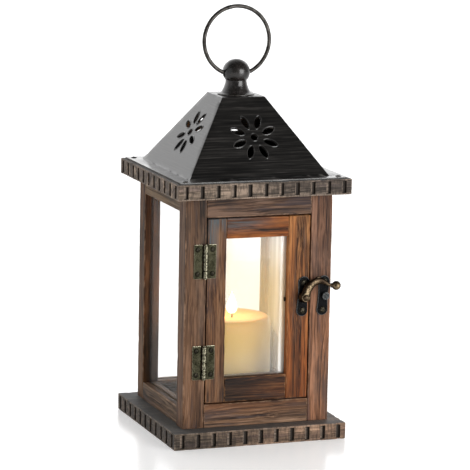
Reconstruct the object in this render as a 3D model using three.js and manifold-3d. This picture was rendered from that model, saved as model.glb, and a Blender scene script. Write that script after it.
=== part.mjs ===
// Candle lantern: a glazed wooden box between two notched plates, under a pierced sheet-metal roof.
// A finial on the roof carries a ring, and the front is a hinged, glazed door with a swan-neck latch.
// Millimetres, +Z up, door towards -Y, hinges towards -X. The origin is the centre of the underside.

import * as THREE from 'three';
import { mergeVertices } from 'three/addons/utils/BufferGeometryUtils.js';
import Module from 'manifold-3d';

const wasm = await Module();
wasm.setup();

// ---------------------------------------------------------------- driving dimensions

const gap = 0.3;                     // clearance kept between pieces that fit into each other
const plateSize = 160;
const baseThickness = 15;
const bodyHeight = 204;
const topThickness = 14;
const bodyHalf = 66;                 // half the width of the box over its side walls
const frontPostDepth = 17.5;
const frontPostProud = 2;            // how far a front post stands out beyond the side wall behind it
const backPostSize = 15;

const notchCount = 11;               // along each edge of a plate
const notchWidth = 4;
const notchDepth = 2.5;
const notchStop = 1.5;               // whole wood left above and below each notch
const ventRadius = 40;               // hole through the top plate, under the roof

const sideRailThickness = 14;
const sideTopRailHeight = 15;
const sideBottomRailHeight = 16;
const frontTopRailHeight = 18;
const frontBottomRailHeight = 21;

const glassThickness = 2;
const glassBite = 3;                 // how far a pane reaches into its grooves

const doorGap = 1;
const doorThickness = 14;
const hingeStileWidth = 17.5;
const latchStileWidth = 20;
const doorTopRailHeight = 18;
const doorBottomRailHeight = 22;

const sheetThickness = 1.2;
const roofHeight = 66;
const roofBaseHalf = 64.5;
const roofTopHalf = 20;
const flangeHalf = 76.5;
const roofScrewInset = 6;             // from the flange's edges
const petalCount = 8;
const petalLength = 13;
const petalWidth = 5.7;
const petalRingRadius = 15.4;        // from the flower's centre to the middle of a petal
const flowerEyeRadius = 3.2;
const frontFlowerShift = 2;          // the front flower is punched a little right of the middle

const finialFootRadius = 16.4;
const finialFootHeight = 1;
const finialStudRadius = 3;
const finialStudLength = 11;
const finialNutRadius = 6;
const finialNutHeight = 5;

const ballRadius = 12.2;
const ballHalfHeight = 11.4;         // the ball is a little flattened
const ballHeight = 20;               // centre of the ball above the roof's flat top
const ringRadius = 30.4;             // to the middle of the wire
const ringWireRadius = 1.75;
const ringHoleRadius = 3.2;
const ringHoleHeight = 18.2;         // centre of the ring's hole above the roof's flat top

const hingeX = -50;
const hingeHeights = [163.2, 73.8];
const leafHeight = 30;
const leafReach = 10.2;              // from the pin to a leaf's outer edge
const leafThickness = 1;
const knuckleCount = 4;
const barrelRadius = 2;
const hingePinRadius = 1.2;
const leafScrewReach = 6.8;          // from the pin to a row of screws
const leafScrewSpacing = 21.4;

const latchX = 41.5;
const latchHeight = 128;
const keeperX = 60.5;
const latchTilt = THREE.MathUtils.degToRad(3);
const latchPlateThickness = 1.5;
const latchScrewSpacing = 25;
const lobeRadius = 5.2;
const lobedWaist = 3.8;              // half the width that the sides bend towards between the lobes
const rivetRadius = 1.6;
const rivetDepth = 6;
const rivetHeadRadius = 2.8;
const rivetHeadHeight = 1.6;
const bossRadius = 5.2;
const bossFrontRadius = 3.2;
const bossHeight = 6.5;
const armThickness = 4;
const armBack = 2;                   // from the back of the boss to the back of the arm
const gripRadius = 4;
const gripPlace = [29.3, 9.2];       // X and Z from the pivot
const keeperStudRadius = 3.4;
const keeperStudRise = 4;
const keeperStudShift = 1.4;         // right of the keeper plate's middle line

const candleRadius = 35;
const candleHeight = 85;
const candleDish = 2;                // how far the melted top sinks in the middle
const candleShoulder = 2.5;          // height of the rounded rim
const candleRim = 0.6;
const candleFoot = 1.5;              // the chamfer at the bottom
const wickRadius = 0.9;
const wickSocketDepth = 10;
const wickLength = 20;

const leafScrew = { head: 2.1, rise: 0.8, shank: 1.1, length: 8 };
const latchScrew = { head: 3.1, rise: 1.5, shank: 1.4, length: 9 };
const roofScrew = { head: 2.6, rise: 0.9, shank: 1.3, length: 9 };

// ---------------------------------------------------------------- places worked out from them

const plateHalf = plateSize / 2;
const bodyTop = baseThickness + bodyHeight;
const roofBase = bodyTop + topThickness;
const roofTop = roofBase + roofHeight;
const postInner = bodyHalf - frontPostDepth;
const backPostInner = bodyHalf - backPostSize;
const frontFace = -bodyHalf;
const glassInset = sideRailThickness / 2;
const grooveWidth = glassThickness + 2 * gap;
const grooveDepth = glassBite + gap;

const doorBottom = baseThickness + frontBottomRailHeight + doorGap;
const doorTop = bodyTop - frontTopRailHeight - doorGap;
const doorHalf = postInner - doorGap;
const doorCentreY = frontFace + doorThickness / 2;
const hingeY = frontFace - barrelRadius - gap;

const roofScrewPlace = flangeHalf - roofScrewInset;
const latchFace = frontFace - latchPlateThickness;

// ---------------------------------------------------------------- materials

function finish(color, roughness, metalness, opacity = 1) {
  return new THREE.MeshStandardMaterial({ color, roughness, metalness, opacity, transparent: opacity < 1 });
}

const frameWood = finish(0x4f3a2e, 0.75, 0);
const plateWood = finish(0x554840, 0.85, 0);
const doorWood = finish(0x6b4028, 0.65, 0);
const blackSheet = finish(0x15130f, 0.4, 0.6);
const blackCast = finish(0x17161a, 0.35, 0.7);
const ringSteel = finish(0x4a443f, 0.4, 0.9);
const hingeBronze = finish(0x55513f, 0.45, 0.9);
const latchBlack = finish(0x1b1d20, 0.4, 0.8);
const hookBrass = finish(0x8a7752, 0.35, 0.95);
const screwSteel = finish(0x3b3a36, 0.45, 0.9);
const paneGlass = finish(0xe8f0ee, 0.05, 0, 0.25);
const candleWax = finish(0xf2e3bd, 0.5, 0);
const wickCotton = finish(0x2a2119, 0.95, 0);

// ---------------------------------------------------------------- solids

function toSolid(geometry) {
  const bare = geometry.clone();
  bare.deleteAttribute('normal');
  bare.deleteAttribute('uv');
  const merged = mergeVertices(bare);
  const index = merged.index.array;
  const corners = [];
  for (let i = 0; i < index.length; i += 3) {
    const [a, b, c] = [index[i], index[i + 1], index[i + 2]];
    if (a !== b && b !== c && c !== a) corners.push(a, b, c);
  }
  const vertProperties = new Float32Array(merged.attributes.position.array);
  const triVerts = new Uint32Array(corners);
  return new wasm.Manifold(new wasm.Mesh({ numProp: 3, vertProperties, triVerts }));
}

function toGeometry(solid) {
  const mesh = solid.getMesh();
  const geometry = new THREE.BufferGeometry();
  geometry.setAttribute('position', new THREE.BufferAttribute(mesh.vertProperties, 3));
  geometry.setIndex(new THREE.BufferAttribute(mesh.triVerts, 1));
  return geometry;
}

function join(geometries) {
  return toGeometry(geometries.map(toSolid).reduce((whole, piece) => whole.add(piece)));
}

function cut(geometry, tools) {
  return toGeometry(tools.map(toSolid).reduce((rest, tool) => rest.subtract(tool), toSolid(geometry)));
}

// A block given by its lowest and highest corners.
function block([x0, y0, z0], [x1, y1, z1]) {
  const geometry = new THREE.BoxGeometry(x1 - x0, y1 - y0, z1 - z0);
  return geometry.translate((x0 + x1) / 2, (y0 + y1) / 2, (z0 + z1) / 2);
}

function rodAlongX(radius, length, sides) {
  return new THREE.CylinderGeometry(radius, radius, length, sides).rotateZ(Math.PI / 2);
}

function rodAlongY(radius, length, sides) {
  return new THREE.CylinderGeometry(radius, radius, length, sides);
}

function rodAlongZ(radius, length, sides) {
  return new THREE.CylinderGeometry(radius, radius, length, sides).rotateX(Math.PI / 2);
}

// A turned shape about Z, from [radius, height] pairs that start and end on the axis.
function turned(profile, sides) {
  const points = profile.map(([radius, height]) => new THREE.Vector2(radius, height));
  return new THREE.LatheGeometry(points, sides).rotateX(Math.PI / 2);
}

// A flat plate that stands proud of a front face: the outline is in X and Z, its back is at y = 0.
function frontPlate(outline, thickness) {
  const options = { depth: thickness, bevelEnabled: false, curveSegments: 8 };
  return new THREE.ExtrudeGeometry(outline, options).rotateX(Math.PI / 2);
}

// ---------------------------------------------------------------- scene graph

const lantern = new THREE.Group();

function add(name, geometry, material, place = [0, 0, 0], parent = lantern) {
  const mesh = new THREE.Mesh(geometry, material);
  mesh.name = name;
  mesh.position.set(...place);
  parent.add(mesh);
  return mesh;
}

// ---------------------------------------------------------------- screws

// A dome-headed screw along Z. The head's underside is at z = 0 and the shank points down.
function screwGeometry({ head, rise, shank, length }) {
  const domeRadius = head * 0.75;
  return turned([[0, -length], [shank, -length], [shank, 0], [head, 0], [domeRadius, rise], [0, rise]], 10);
}

function addFrontScrew(name, size, [x, y, z]) {
  const screw = add(name, screwGeometry(size), screwSteel, [x, y, z]);
  screw.rotation.x = Math.PI / 2;
}

// The hole that a screw needs, as a cutting tool on a front face.
function frontScrewHole(size, [x, z]) {
  const depth = 2 * (size.length + 1);
  return rodAlongY(size.shank + gap, depth, 10).translate(x, frontFace, z);
}

function leafScrewPlaces(side) {
  const x = hingeX + side * leafScrewReach;
  return hingeHeights.flatMap((z) => [[x, z + leafScrewSpacing / 2], [x, z - leafScrewSpacing / 2]]);
}

function latchScrewPlaces(centreX) {
  const reach = latchScrewSpacing / 2;
  const [dx, dz] = [reach * Math.sin(latchTilt), reach * Math.cos(latchTilt)];
  return [[centreX + dx, latchHeight + dz], [centreX - dx, latchHeight - dz]];
}

// ---------------------------------------------------------------- notched plates

function notchTools(bottom, thickness) {
  const pitch = plateSize / notchCount;
  const height = thickness - 2 * notchStop;
  const tools = [];
  for (let side = 0; side < 4; side += 1) {
    for (let i = 0; i < notchCount; i += 1) {
      const tool = new THREE.BoxGeometry(notchWidth, 2 * notchDepth, height);
      tool.translate((i + 0.5) * pitch - plateHalf, -plateHalf, bottom + thickness / 2);
      tools.push(tool.rotateZ((side * Math.PI) / 2));
    }
  }
  return tools;
}

function notchedPlate(bottom, thickness, otherTools = []) {
  const board = block([-plateHalf, -plateHalf, bottom], [plateHalf, plateHalf, bottom + thickness]);
  return cut(board, [...notchTools(bottom, thickness), ...otherTools]);
}

function addPlates() {
  add('base_plate', notchedPlate(0, baseThickness), plateWood);
  const vent = rodAlongZ(ventRadius, 2 * topThickness, 32).translate(0, 0, bodyTop + topThickness / 2);
  const screwHoles = roofScrewPlaces().map(([x, y]) => {
    const hole = rodAlongZ(roofScrew.shank + gap, 2 * (roofScrew.length + 1), 10);
    return hole.translate(x, y, roofBase);
  });
  add('top_plate', notchedPlate(bodyTop, topThickness, [vent, ...screwHoles]), plateWood);
}

// ---------------------------------------------------------------- posts and rails of the box

// A cutting tool for a pane's groove, given by its centre and half its size along each axis.
function grooveBlock(centre, halfSize) {
  const low = centre.map((value, i) => value - halfSize[i]);
  const high = centre.map((value, i) => value + halfSize[i]);
  return block(low, high);
}

const sideOpeningBottom = baseThickness + sideBottomRailHeight;
const sideOpeningTop = bodyTop - sideTopRailHeight;
const sideOpeningMiddle = (sideOpeningBottom + sideOpeningTop) / 2;
const sideGrooveHalfHeight = (sideOpeningTop - sideOpeningBottom) / 2 + grooveDepth;

// The grooves in one post: each holds an edge of a side pane, and a back post also one of the back pane.
function postGrooves(signX, signY) {
  const tools = [];
  const pane = bodyHalf - glassInset;
  const inner = signY < 0 ? postInner : backPostInner;
  const sideCentre = [signX * pane, signY * inner, sideOpeningMiddle];
  tools.push(grooveBlock(sideCentre, [grooveWidth / 2, grooveDepth, sideGrooveHalfHeight]));
  if (signY > 0) {
    const backCentre = [signX * inner, pane, sideOpeningMiddle];
    tools.push(grooveBlock(backCentre, [grooveDepth, grooveWidth / 2, sideGrooveHalfHeight]));
  }
  return tools;
}

function addPost(name, signX, signY, screwHoles) {
  const inner = signY < 0 ? postInner : backPostInner;
  const outer = signY < 0 ? bodyHalf + frontPostProud : bodyHalf;
  const [x0, x1] = signX < 0 ? [-outer, -inner] : [inner, outer];
  const [y0, y1] = signY < 0 ? [-bodyHalf, -inner] : [inner, bodyHalf];
  const post = block([x0, y0, baseThickness], [x1, y1, bodyTop]);
  add(name, cut(post, [...postGrooves(signX, signY), ...screwHoles]), frameWood);
}

function addPosts() {
  const hingeHoles = leafScrewPlaces(-1).map((place) => frontScrewHole(leafScrew, place));
  const keeperHoles = latchScrewPlaces(keeperX).map((place) => frontScrewHole(latchScrew, place));
  addPost('post_front_left', -1, -1, hingeHoles);
  addPost('post_front_right', 1, -1, keeperHoles);
  addPost('post_back_left', -1, 1, []);
  addPost('post_back_right', 1, 1, []);
}

// Distance from the middle of the lantern to the inner face of a side or back rail.
const railInner = bodyHalf - sideRailThickness;

function sideRail(wall, bottom, top, grooveHeight) {
  const pane = bodyHalf - glassInset;
  if (wall === 'back') {
    const rail = block([-backPostInner, railInner, bottom], [backPostInner, bodyHalf, top]);
    return cut(rail, [grooveBlock([0, pane, grooveHeight], [bodyHalf, grooveWidth / 2, grooveDepth])]);
  }
  const sign = wall === 'left' ? -1 : 1;
  const [x0, x1] = sign < 0 ? [-bodyHalf, -railInner] : [railInner, bodyHalf];
  const rail = block([x0, -postInner, bottom], [x1, backPostInner, top]);
  const grooveCentre = [sign * pane, 0, grooveHeight];
  return cut(rail, [grooveBlock(grooveCentre, [grooveWidth / 2, bodyHalf, grooveDepth])]);
}

function addSideWalls() {
  const sideWidth = postInner + backPostInner + 2 * glassBite;
  const sideMiddle = (backPostInner - postInner) / 2;
  const backWidth = 2 * (backPostInner + glassBite);
  const paneHeight = sideOpeningTop - sideOpeningBottom + 2 * glassBite;
  const pane = bodyHalf - glassInset;
  const sideSize = [glassThickness, sideWidth, paneHeight];
  const paneBoxes = {
    left: { size: sideSize, place: [-pane, sideMiddle, sideOpeningMiddle] },
    right: { size: sideSize, place: [pane, sideMiddle, sideOpeningMiddle] },
    back: { size: [backWidth, glassThickness, paneHeight], place: [0, pane, sideOpeningMiddle] },
  };
  for (const wall of ['left', 'right', 'back']) {
    const bottomRail = sideRail(wall, baseThickness, sideOpeningBottom, sideOpeningBottom);
    add(`${wall}_bottom_rail`, bottomRail, frameWood);
    add(`${wall}_top_rail`, sideRail(wall, sideOpeningTop, bodyTop, sideOpeningTop), frameWood);
    const { size, place } = paneBoxes[wall];
    add(`${wall}_glass`, new THREE.BoxGeometry(...size), paneGlass, place);
  }
}

function addDoorway() {
  const top = block([-postInner, frontFace, doorTop + doorGap], [postInner, -postInner, bodyTop]);
  const bottom = block([-postInner, frontFace, baseThickness], [postInner, -postInner, doorBottom - doorGap]);
  add('front_top_rail', top, frameWood);
  add('front_bottom_rail', bottom, frameWood);
  const stopWidth = 4;
  const stopFront = frontFace + doorThickness + gap;
  const stop = block([postInner - stopWidth, stopFront, doorBottom], [postInner, -postInner, doorTop]);
  add('door_stop', stop, frameWood);
}

// ---------------------------------------------------------------- roof

// Four-sided pyramid cut off at the top, from its half widths at two heights.
function frustum(baseHalf, topHalf, bottom, top) {
  const corner = Math.SQRT2;
  const geometry = new THREE.CylinderGeometry(topHalf * corner, baseHalf * corner, top - bottom, 4, 1);
  return geometry.rotateY(Math.PI / 4).rotateX(Math.PI / 2).translate(0, 0, (bottom + top) / 2);
}

// The holes of one pierced flower, as rods along Z around the origin.
function flowerTools(depth) {
  const tools = [rodAlongZ(flowerEyeRadius, depth, 12)];
  for (let i = 0; i < petalCount; i += 1) {
    const angle = ((i + 0.5) * 2 * Math.PI) / petalCount;
    const petal = new THREE.Shape();
    petal.absellipse(petalRingRadius, 0, petalLength / 2, petalWidth / 2, 0, 2 * Math.PI, false, 0);
    const tool = new THREE.ExtrudeGeometry(petal, { depth, bevelEnabled: false, curveSegments: 6 });
    tools.push(tool.translate(0, 0, -depth / 2).rotateZ(angle + Math.PI / 2));
  }
  return tools;
}

function roofScrewPlaces() {
  const signs = [[-1, -1], [1, -1], [1, 1], [-1, 1]];
  return signs.map(([x, y]) => [x * roofScrewPlace, y * roofScrewPlace]);
}

function addRoof() {
  const run = roofBaseHalf - roofTopHalf;
  const slope = Math.atan2(roofHeight - sheetThickness, run);
  const flangeTop = roofBase + sheetThickness;
  const inset = sheetThickness / Math.sin(slope);
  const flange = block([-flangeHalf, -flangeHalf, roofBase], [flangeHalf, flangeHalf, flangeTop]);
  const outer = frustum(roofBaseHalf, roofTopHalf, flangeTop, roofTop);
  const inner = frustum(roofBaseHalf - inset, roofTopHalf - inset, flangeTop, roofTop - sheetThickness);
  const mouthHalf = roofBaseHalf - inset;
  const mouthBottom = roofBase - sheetThickness;
  const mouth = block([-mouthHalf, -mouthHalf, mouthBottom], [mouthHalf, mouthHalf, flangeTop]);

  const studHole = rodAlongZ(finialStudRadius + gap, 4 * sheetThickness, 12).translate(0, 0, roofTop);
  const screwHoles = roofScrewPlaces().map(([x, y]) => {
    return rodAlongZ(roofScrew.shank + gap, 4 * sheetThickness, 10).translate(x, y, flangeTop);
  });
  const flowers = [];
  const flowerDepth = 6 * sheetThickness;
  const middleHalf = (roofBaseHalf + roofTopHalf) / 2;
  const middleHeight = (flangeTop + roofTop) / 2;
  for (let side = 0; side < 4; side += 1) {
    const shift = side === 0 ? frontFlowerShift : 0;
    for (const tool of flowerTools(flowerDepth)) {
      tool.rotateX(slope).translate(shift, -middleHalf, middleHeight);
      flowers.push(tool.rotateZ((side * Math.PI) / 2));
    }
  }
  const skin = cut(join([flange, outer]), [join([inner, mouth]), studHole, ...screwHoles, ...flowers]);
  add('roof_shell', skin, blackSheet);
  roofScrewPlaces().forEach(([x, y], i) => {
    add(`roof_screw_${i + 1}`, screwGeometry(roofScrew), blackCast, [x, y, flangeTop]);
  });
}

// ---------------------------------------------------------------- finial and ring

function addFinial() {
  // Where the ball meets the neck, from straight down.
  const neckAngle = THREE.MathUtils.degToRad(50);
  const neckTop = ballHeight - ballHalfHeight * Math.cos(neckAngle);
  const neckSweep = [[12.4, 3.3], [10.9, 6.4], [9.5, 9.8]];
  const profile = [
    [0, -finialStudLength],
    [finialStudRadius, -finialStudLength],
    [finialStudRadius, 0],
    [finialFootRadius, 0],
    [finialFootRadius, finialFootHeight],
    ...neckSweep,
    [ballRadius * Math.sin(neckAngle), neckTop],
  ];
  const ballSteps = 7;
  for (let i = 1; i <= ballSteps; i += 1) {
    const angle = neckAngle + (i / ballSteps) * (Math.PI - neckAngle);
    const radius = i === ballSteps ? 0 : ballRadius * Math.sin(angle);
    profile.push([radius, ballHeight - ballHalfHeight * Math.cos(angle)]);
  }
  const hole = rodAlongX(ringHoleRadius, 4 * ballRadius, 16).translate(0, 0, ringHoleHeight);
  add('finial', cut(turned(profile, 24), [hole]), blackCast, [0, 0, roofTop]);

  const nut = rodAlongZ(finialNutRadius, finialNutHeight, 6);
  const thread = rodAlongZ(finialStudRadius + gap, 2 * finialNutHeight, 12);
  const nutPlace = roofTop - sheetThickness - gap - finialNutHeight / 2;
  add('finial_nut', cut(nut, [thread]), screwSteel, [0, 0, nutPlace]);
}

// The ring stands upright in the finial's hole, in the plane of the door.
function addRing() {
  // The wire crosses the ball's sides a little higher than it does its middle: sit half way between.
  const settle = (ballRadius * ballRadius) / (4 * ringRadius);
  const centre = roofTop + ringHoleHeight - settle + ringRadius;
  const ring = new THREE.TorusGeometry(ringRadius, ringWireRadius, 8, 48).rotateX(Math.PI / 2);
  add('ring_handle', ring, ringSteel, [0, 0, centre]);
}

// ---------------------------------------------------------------- door

const openingLeft = -doorHalf + hingeStileWidth;
const openingRight = doorHalf - latchStileWidth;
const openingBottom = doorBottom + doorBottomRailHeight;
const openingTop = doorTop - doorTopRailHeight;

function addDoorFrame() {
  const back = frontFace + doorThickness;
  const low = [openingLeft - grooveDepth, doorCentreY - grooveWidth / 2, openingBottom - grooveDepth];
  const high = [openingRight + grooveDepth, doorCentreY + grooveWidth / 2, openingTop + grooveDepth];
  const groove = block(low, high);
  const hingeStile = block([-doorHalf, frontFace, doorBottom], [openingLeft, back, doorTop]);
  const latchStile = block([openingRight, frontFace, doorBottom], [doorHalf, back, doorTop]);
  const topRail = block([openingLeft, frontFace, openingTop], [openingRight, back, doorTop]);
  const bottomRail = block([openingLeft, frontFace, doorBottom], [openingRight, back, openingBottom]);

  const leafHoles = leafScrewPlaces(1).map((place) => frontScrewHole(leafScrew, place));
  const latchHoles = latchScrewPlaces(latchX).map((place) => frontScrewHole(latchScrew, place));
  const rivetHole = rodAlongY(rivetRadius + gap, 2 * (rivetDepth + 1), 12);
  rivetHole.translate(latchX, frontFace, latchHeight);
  add('door_hinge_stile', cut(hingeStile, [groove, ...leafHoles]), doorWood);
  add('door_latch_stile', cut(latchStile, [groove, ...latchHoles, rivetHole]), doorWood);
  add('door_top_rail', cut(topRail, [groove]), doorWood);
  add('door_bottom_rail', cut(bottomRail, [groove]), doorWood);

  const paneWidth = openingRight - openingLeft + 2 * glassBite;
  const paneHeight = openingTop - openingBottom + 2 * glassBite;
  const paneCentre = [(openingLeft + openingRight) / 2, doorCentreY, (openingBottom + openingTop) / 2];
  add('door_glass', new THREE.BoxGeometry(paneWidth, glassThickness, paneHeight), paneGlass, paneCentre);
}

// Two short upright pins that hold the pane against rattling, one beside each stile, in front of the glass.
function addGlazingPins() {
  const pinRadius = 0.8;
  const pinLength = 3.6;
  const pinHeight = 125.2;
  const y = doorCentreY - glassThickness / 2 - gap - pinRadius;
  const places = [openingRight - pinRadius, openingLeft + pinRadius];
  places.forEach((x, i) => {
    add(`glazing_pin_${i + 1}`, rodAlongZ(pinRadius, pinLength, 8), screwSteel, [x, y, pinHeight]);
  });
}

// ---------------------------------------------------------------- hinges

// One leaf with its knuckles, about a pin on the Z axis. side is -1 for the frame and 1 for the door.
function hingeLeaf(side) {
  const wood = barrelRadius + gap;
  const inner = side * (barrelRadius + gap);
  const outer = side * leafReach;
  const front = wood - leafThickness;
  const [x0, x1] = [Math.min(inner, outer), Math.max(inner, outer)];
  const pieces = [block([x0, front, -leafHeight / 2], [x1, wood, leafHeight / 2])];
  const pitch = leafHeight / knuckleCount;
  for (let i = side < 0 ? 0 : 1; i < knuckleCount; i += 2) {
    const z = (i + 0.5) * pitch - leafHeight / 2;
    const half = (pitch - gap) / 2;
    const tabEnd = side * (leafReach / 2);
    pieces.push(block([Math.min(0, tabEnd), front, z - half], [Math.max(0, tabEnd), wood, z + half]));
    pieces.push(rodAlongZ(barrelRadius, pitch - gap, 16).translate(0, 0, z));
  }
  const tools = [rodAlongZ(hingePinRadius + gap / 2, 2 * leafHeight, 16)];
  for (const z of [-leafScrewSpacing / 2, leafScrewSpacing / 2]) {
    const hole = rodAlongY(leafScrew.shank + gap, 4 * barrelRadius, 10);
    tools.push(hole.translate(side * leafScrewReach, barrelRadius, z));
  }
  return cut(join(pieces), tools);
}

function addHinges() {
  ['upper', 'lower'].forEach((level, i) => {
    const place = [hingeX, hingeY, hingeHeights[i]];
    add(`${level}_hinge_frame_leaf`, hingeLeaf(-1), hingeBronze, place);
    add(`${level}_hinge_door_leaf`, hingeLeaf(1), hingeBronze, place);
    add(`${level}_hinge_pin`, rodAlongZ(hingePinRadius, leafHeight + 1, 12), hingeBronze, place);
  });
  const headPlane = frontFace - leafThickness;
  leafScrewPlaces(-1).forEach(([x, z], i) => {
    addFrontScrew(`hinge_frame_screw_${i + 1}`, leafScrew, [x, headPlane, z]);
  });
  leafScrewPlaces(1).forEach(([x, z], i) => {
    addFrontScrew(`hinge_door_screw_${i + 1}`, leafScrew, [x, headPlane, z]);
  });
}

// ---------------------------------------------------------------- latch

// Two round lobes joined by a slightly narrower waist.
function lobedOutline() {
  const reach = latchScrewSpacing / 2;
  const outline = new THREE.Shape();
  outline.absarc(0, reach, lobeRadius, 0, Math.PI, false);
  outline.quadraticCurveTo(-lobedWaist, 0, -lobeRadius, -reach);
  outline.absarc(0, -reach, lobeRadius, Math.PI, 2 * Math.PI, false);
  outline.quadraticCurveTo(lobedWaist, 0, lobeRadius, reach);
  return outline;
}

function lobedPlate() {
  const holes = [-1, 1].map((sign) => {
    const hole = rodAlongY(latchScrew.shank + gap, 4 * latchPlateThickness, 10);
    return hole.translate(0, 0, (sign * latchScrewSpacing) / 2);
  });
  return { plate: frontPlate(lobedOutline(), latchPlateThickness), holes };
}

// The swan-neck arm, drawn around the pivot: a thick arch that thins to a neck before the ball.
function swanOutline() {
  const rootHeight = 1.5;
  const [rootLeft, rootRight] = [-3.6, 4];
  const [crownX, crownTop, crownBottom] = [14.5, 17, 11.4];
  const [neckX, neckTop, neckBottom] = [27, 10.6, 7.9];
  const outline = new THREE.Shape();
  outline.moveTo(rootLeft, rootHeight);
  outline.bezierCurveTo(-1.5, 11, 6, 16.8, crownX, crownTop);
  outline.bezierCurveTo(18, 16.6, 20.5, 11.5, neckX, neckTop);
  outline.lineTo(neckX, neckBottom);
  outline.bezierCurveTo(20, 8.2, 18.5, 11.2, crownX, crownBottom);
  outline.bezierCurveTo(8.5, 11, 5, 8, rootRight, rootHeight);
  outline.lineTo(rootLeft, rootHeight);
  return outline;
}

function addHook() {
  const [gripX, gripZ] = gripPlace;
  const grip = new THREE.SphereGeometry(gripRadius, 14, 10);
  grip.translate(gripX, -armBack - armThickness / 2, gripZ);
  const arm = frontPlate(swanOutline(), armThickness).translate(0, -armBack, 0);
  const boss = new THREE.CylinderGeometry(bossRadius, bossFrontRadius, bossHeight, 20);
  boss.translate(0, -bossHeight / 2, 0);
  const bore = rodAlongY(rivetRadius + gap, 4 * bossHeight, 12);
  const hook = cut(join([arm, boss, grip]), [bore]);
  add('latch_hook', hook, hookBrass, [latchX, latchFace - gap, latchHeight]);
}

function addLatch() {
  const rivetTop = latchPlateThickness + gap + bossHeight + gap;
  const rivet = turned([
    [0, -rivetDepth],
    [rivetRadius, -rivetDepth],
    [rivetRadius, rivetTop],
    [rivetHeadRadius, rivetTop],
    [rivetHeadRadius * 0.7, rivetTop + rivetHeadHeight * 0.75],
    [0, rivetTop + rivetHeadHeight],
  ], 12);
  add('latch_rivet', rivet, hookBrass, [latchX, frontFace, latchHeight]).rotation.x = Math.PI / 2;

  const { plate, holes } = lobedPlate();
  const rivetHole = rodAlongY(rivetRadius + gap, 4 * latchPlateThickness, 12);
  const latchPlate = cut(plate, [...holes, rivetHole]);
  add('latch_plate', latchPlate, latchBlack, [latchX, frontFace, latchHeight]).rotation.y = latchTilt;
  addHook();

  const studLength = keeperStudRise + latchPlateThickness / 3;
  const stud = rodAlongY(keeperStudRadius, studLength, 14);
  stud.translate(keeperStudShift, -latchPlateThickness - keeperStudRise + studLength / 2, 0);
  const keeper = cut(join([plate, stud]), holes);
  add('keeper_plate', keeper, latchBlack, [keeperX, frontFace, latchHeight]).rotation.y = latchTilt;

  latchScrewPlaces(latchX).forEach(([x, z], i) => {
    addFrontScrew(`latch_screw_${i + 1}`, latchScrew, [x, latchFace, z]);
  });
  latchScrewPlaces(keeperX).forEach(([x, z], i) => {
    addFrontScrew(`keeper_screw_${i + 1}`, latchScrew, [x, latchFace, z]);
  });
}

// ---------------------------------------------------------------- candle

function addCandle() {
  const socket = wickRadius + gap;
  const dishFloor = candleHeight - candleDish;
  const candle = turned([
    [0, dishFloor - wickSocketDepth],
    [socket, dishFloor - wickSocketDepth],
    [socket, dishFloor],
    [candleRadius * 0.6, dishFloor + candleRim],
    [candleRadius - candleShoulder, candleHeight],
    [candleRadius - candleRim, candleHeight - candleRim],
    [candleRadius, candleHeight - candleShoulder],
    [candleRadius, candleFoot],
    [candleRadius - candleFoot, 0],
    [0, 0],
  ].reverse(), 32);
  add('candle', candle, candleWax, [0, 0, baseThickness]);
  const wickBottom = baseThickness + dishFloor - wickSocketDepth + gap;
  const wick = rodAlongZ(wickRadius, wickLength, 8);
  add('candle_wick', wick, wickCotton, [0, 0, wickBottom + wickLength / 2]);
}

// ---------------------------------------------------------------- assembly

addPlates();
addPosts();
addSideWalls();
addDoorway();
addRoof();
addFinial();
addRing();
addDoorFrame();
addGlazingPins();
addHinges();
addLatch();
addCandle();

export default lantern;
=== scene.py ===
import math

import bmesh
import bpy
import numpy as np
from mathutils import Matrix, Vector
from mathutils.geometry import delaunay_2d_cdt


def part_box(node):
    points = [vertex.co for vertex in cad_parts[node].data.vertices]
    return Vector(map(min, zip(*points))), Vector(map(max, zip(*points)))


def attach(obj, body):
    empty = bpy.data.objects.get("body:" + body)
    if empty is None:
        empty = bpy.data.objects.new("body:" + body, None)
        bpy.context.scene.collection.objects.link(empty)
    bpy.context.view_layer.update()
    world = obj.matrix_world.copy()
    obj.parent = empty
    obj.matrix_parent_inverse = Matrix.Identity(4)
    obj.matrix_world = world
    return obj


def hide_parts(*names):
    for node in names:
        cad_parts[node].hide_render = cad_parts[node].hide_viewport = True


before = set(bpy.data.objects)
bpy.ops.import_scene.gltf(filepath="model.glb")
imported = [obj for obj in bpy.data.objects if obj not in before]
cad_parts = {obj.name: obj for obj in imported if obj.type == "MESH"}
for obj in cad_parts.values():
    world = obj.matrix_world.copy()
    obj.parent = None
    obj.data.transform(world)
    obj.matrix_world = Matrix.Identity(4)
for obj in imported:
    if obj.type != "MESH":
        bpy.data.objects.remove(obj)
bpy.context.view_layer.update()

MM = 0.001
GAP = 0.3 * MM
FULL_TURN = 2 * math.pi
SHARP_ANGLE = math.radians(38)
X, Y, Z = range(3)


# ---------------------------------------------------------------- camera, light and floor

def placed(name, data, matrix=Matrix()):
    """A new object in the scene that holds data."""
    made = bpy.data.objects.new(name, data)
    made.matrix_world = matrix
    bpy.context.scene.collection.objects.link(made)
    return made


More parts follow.
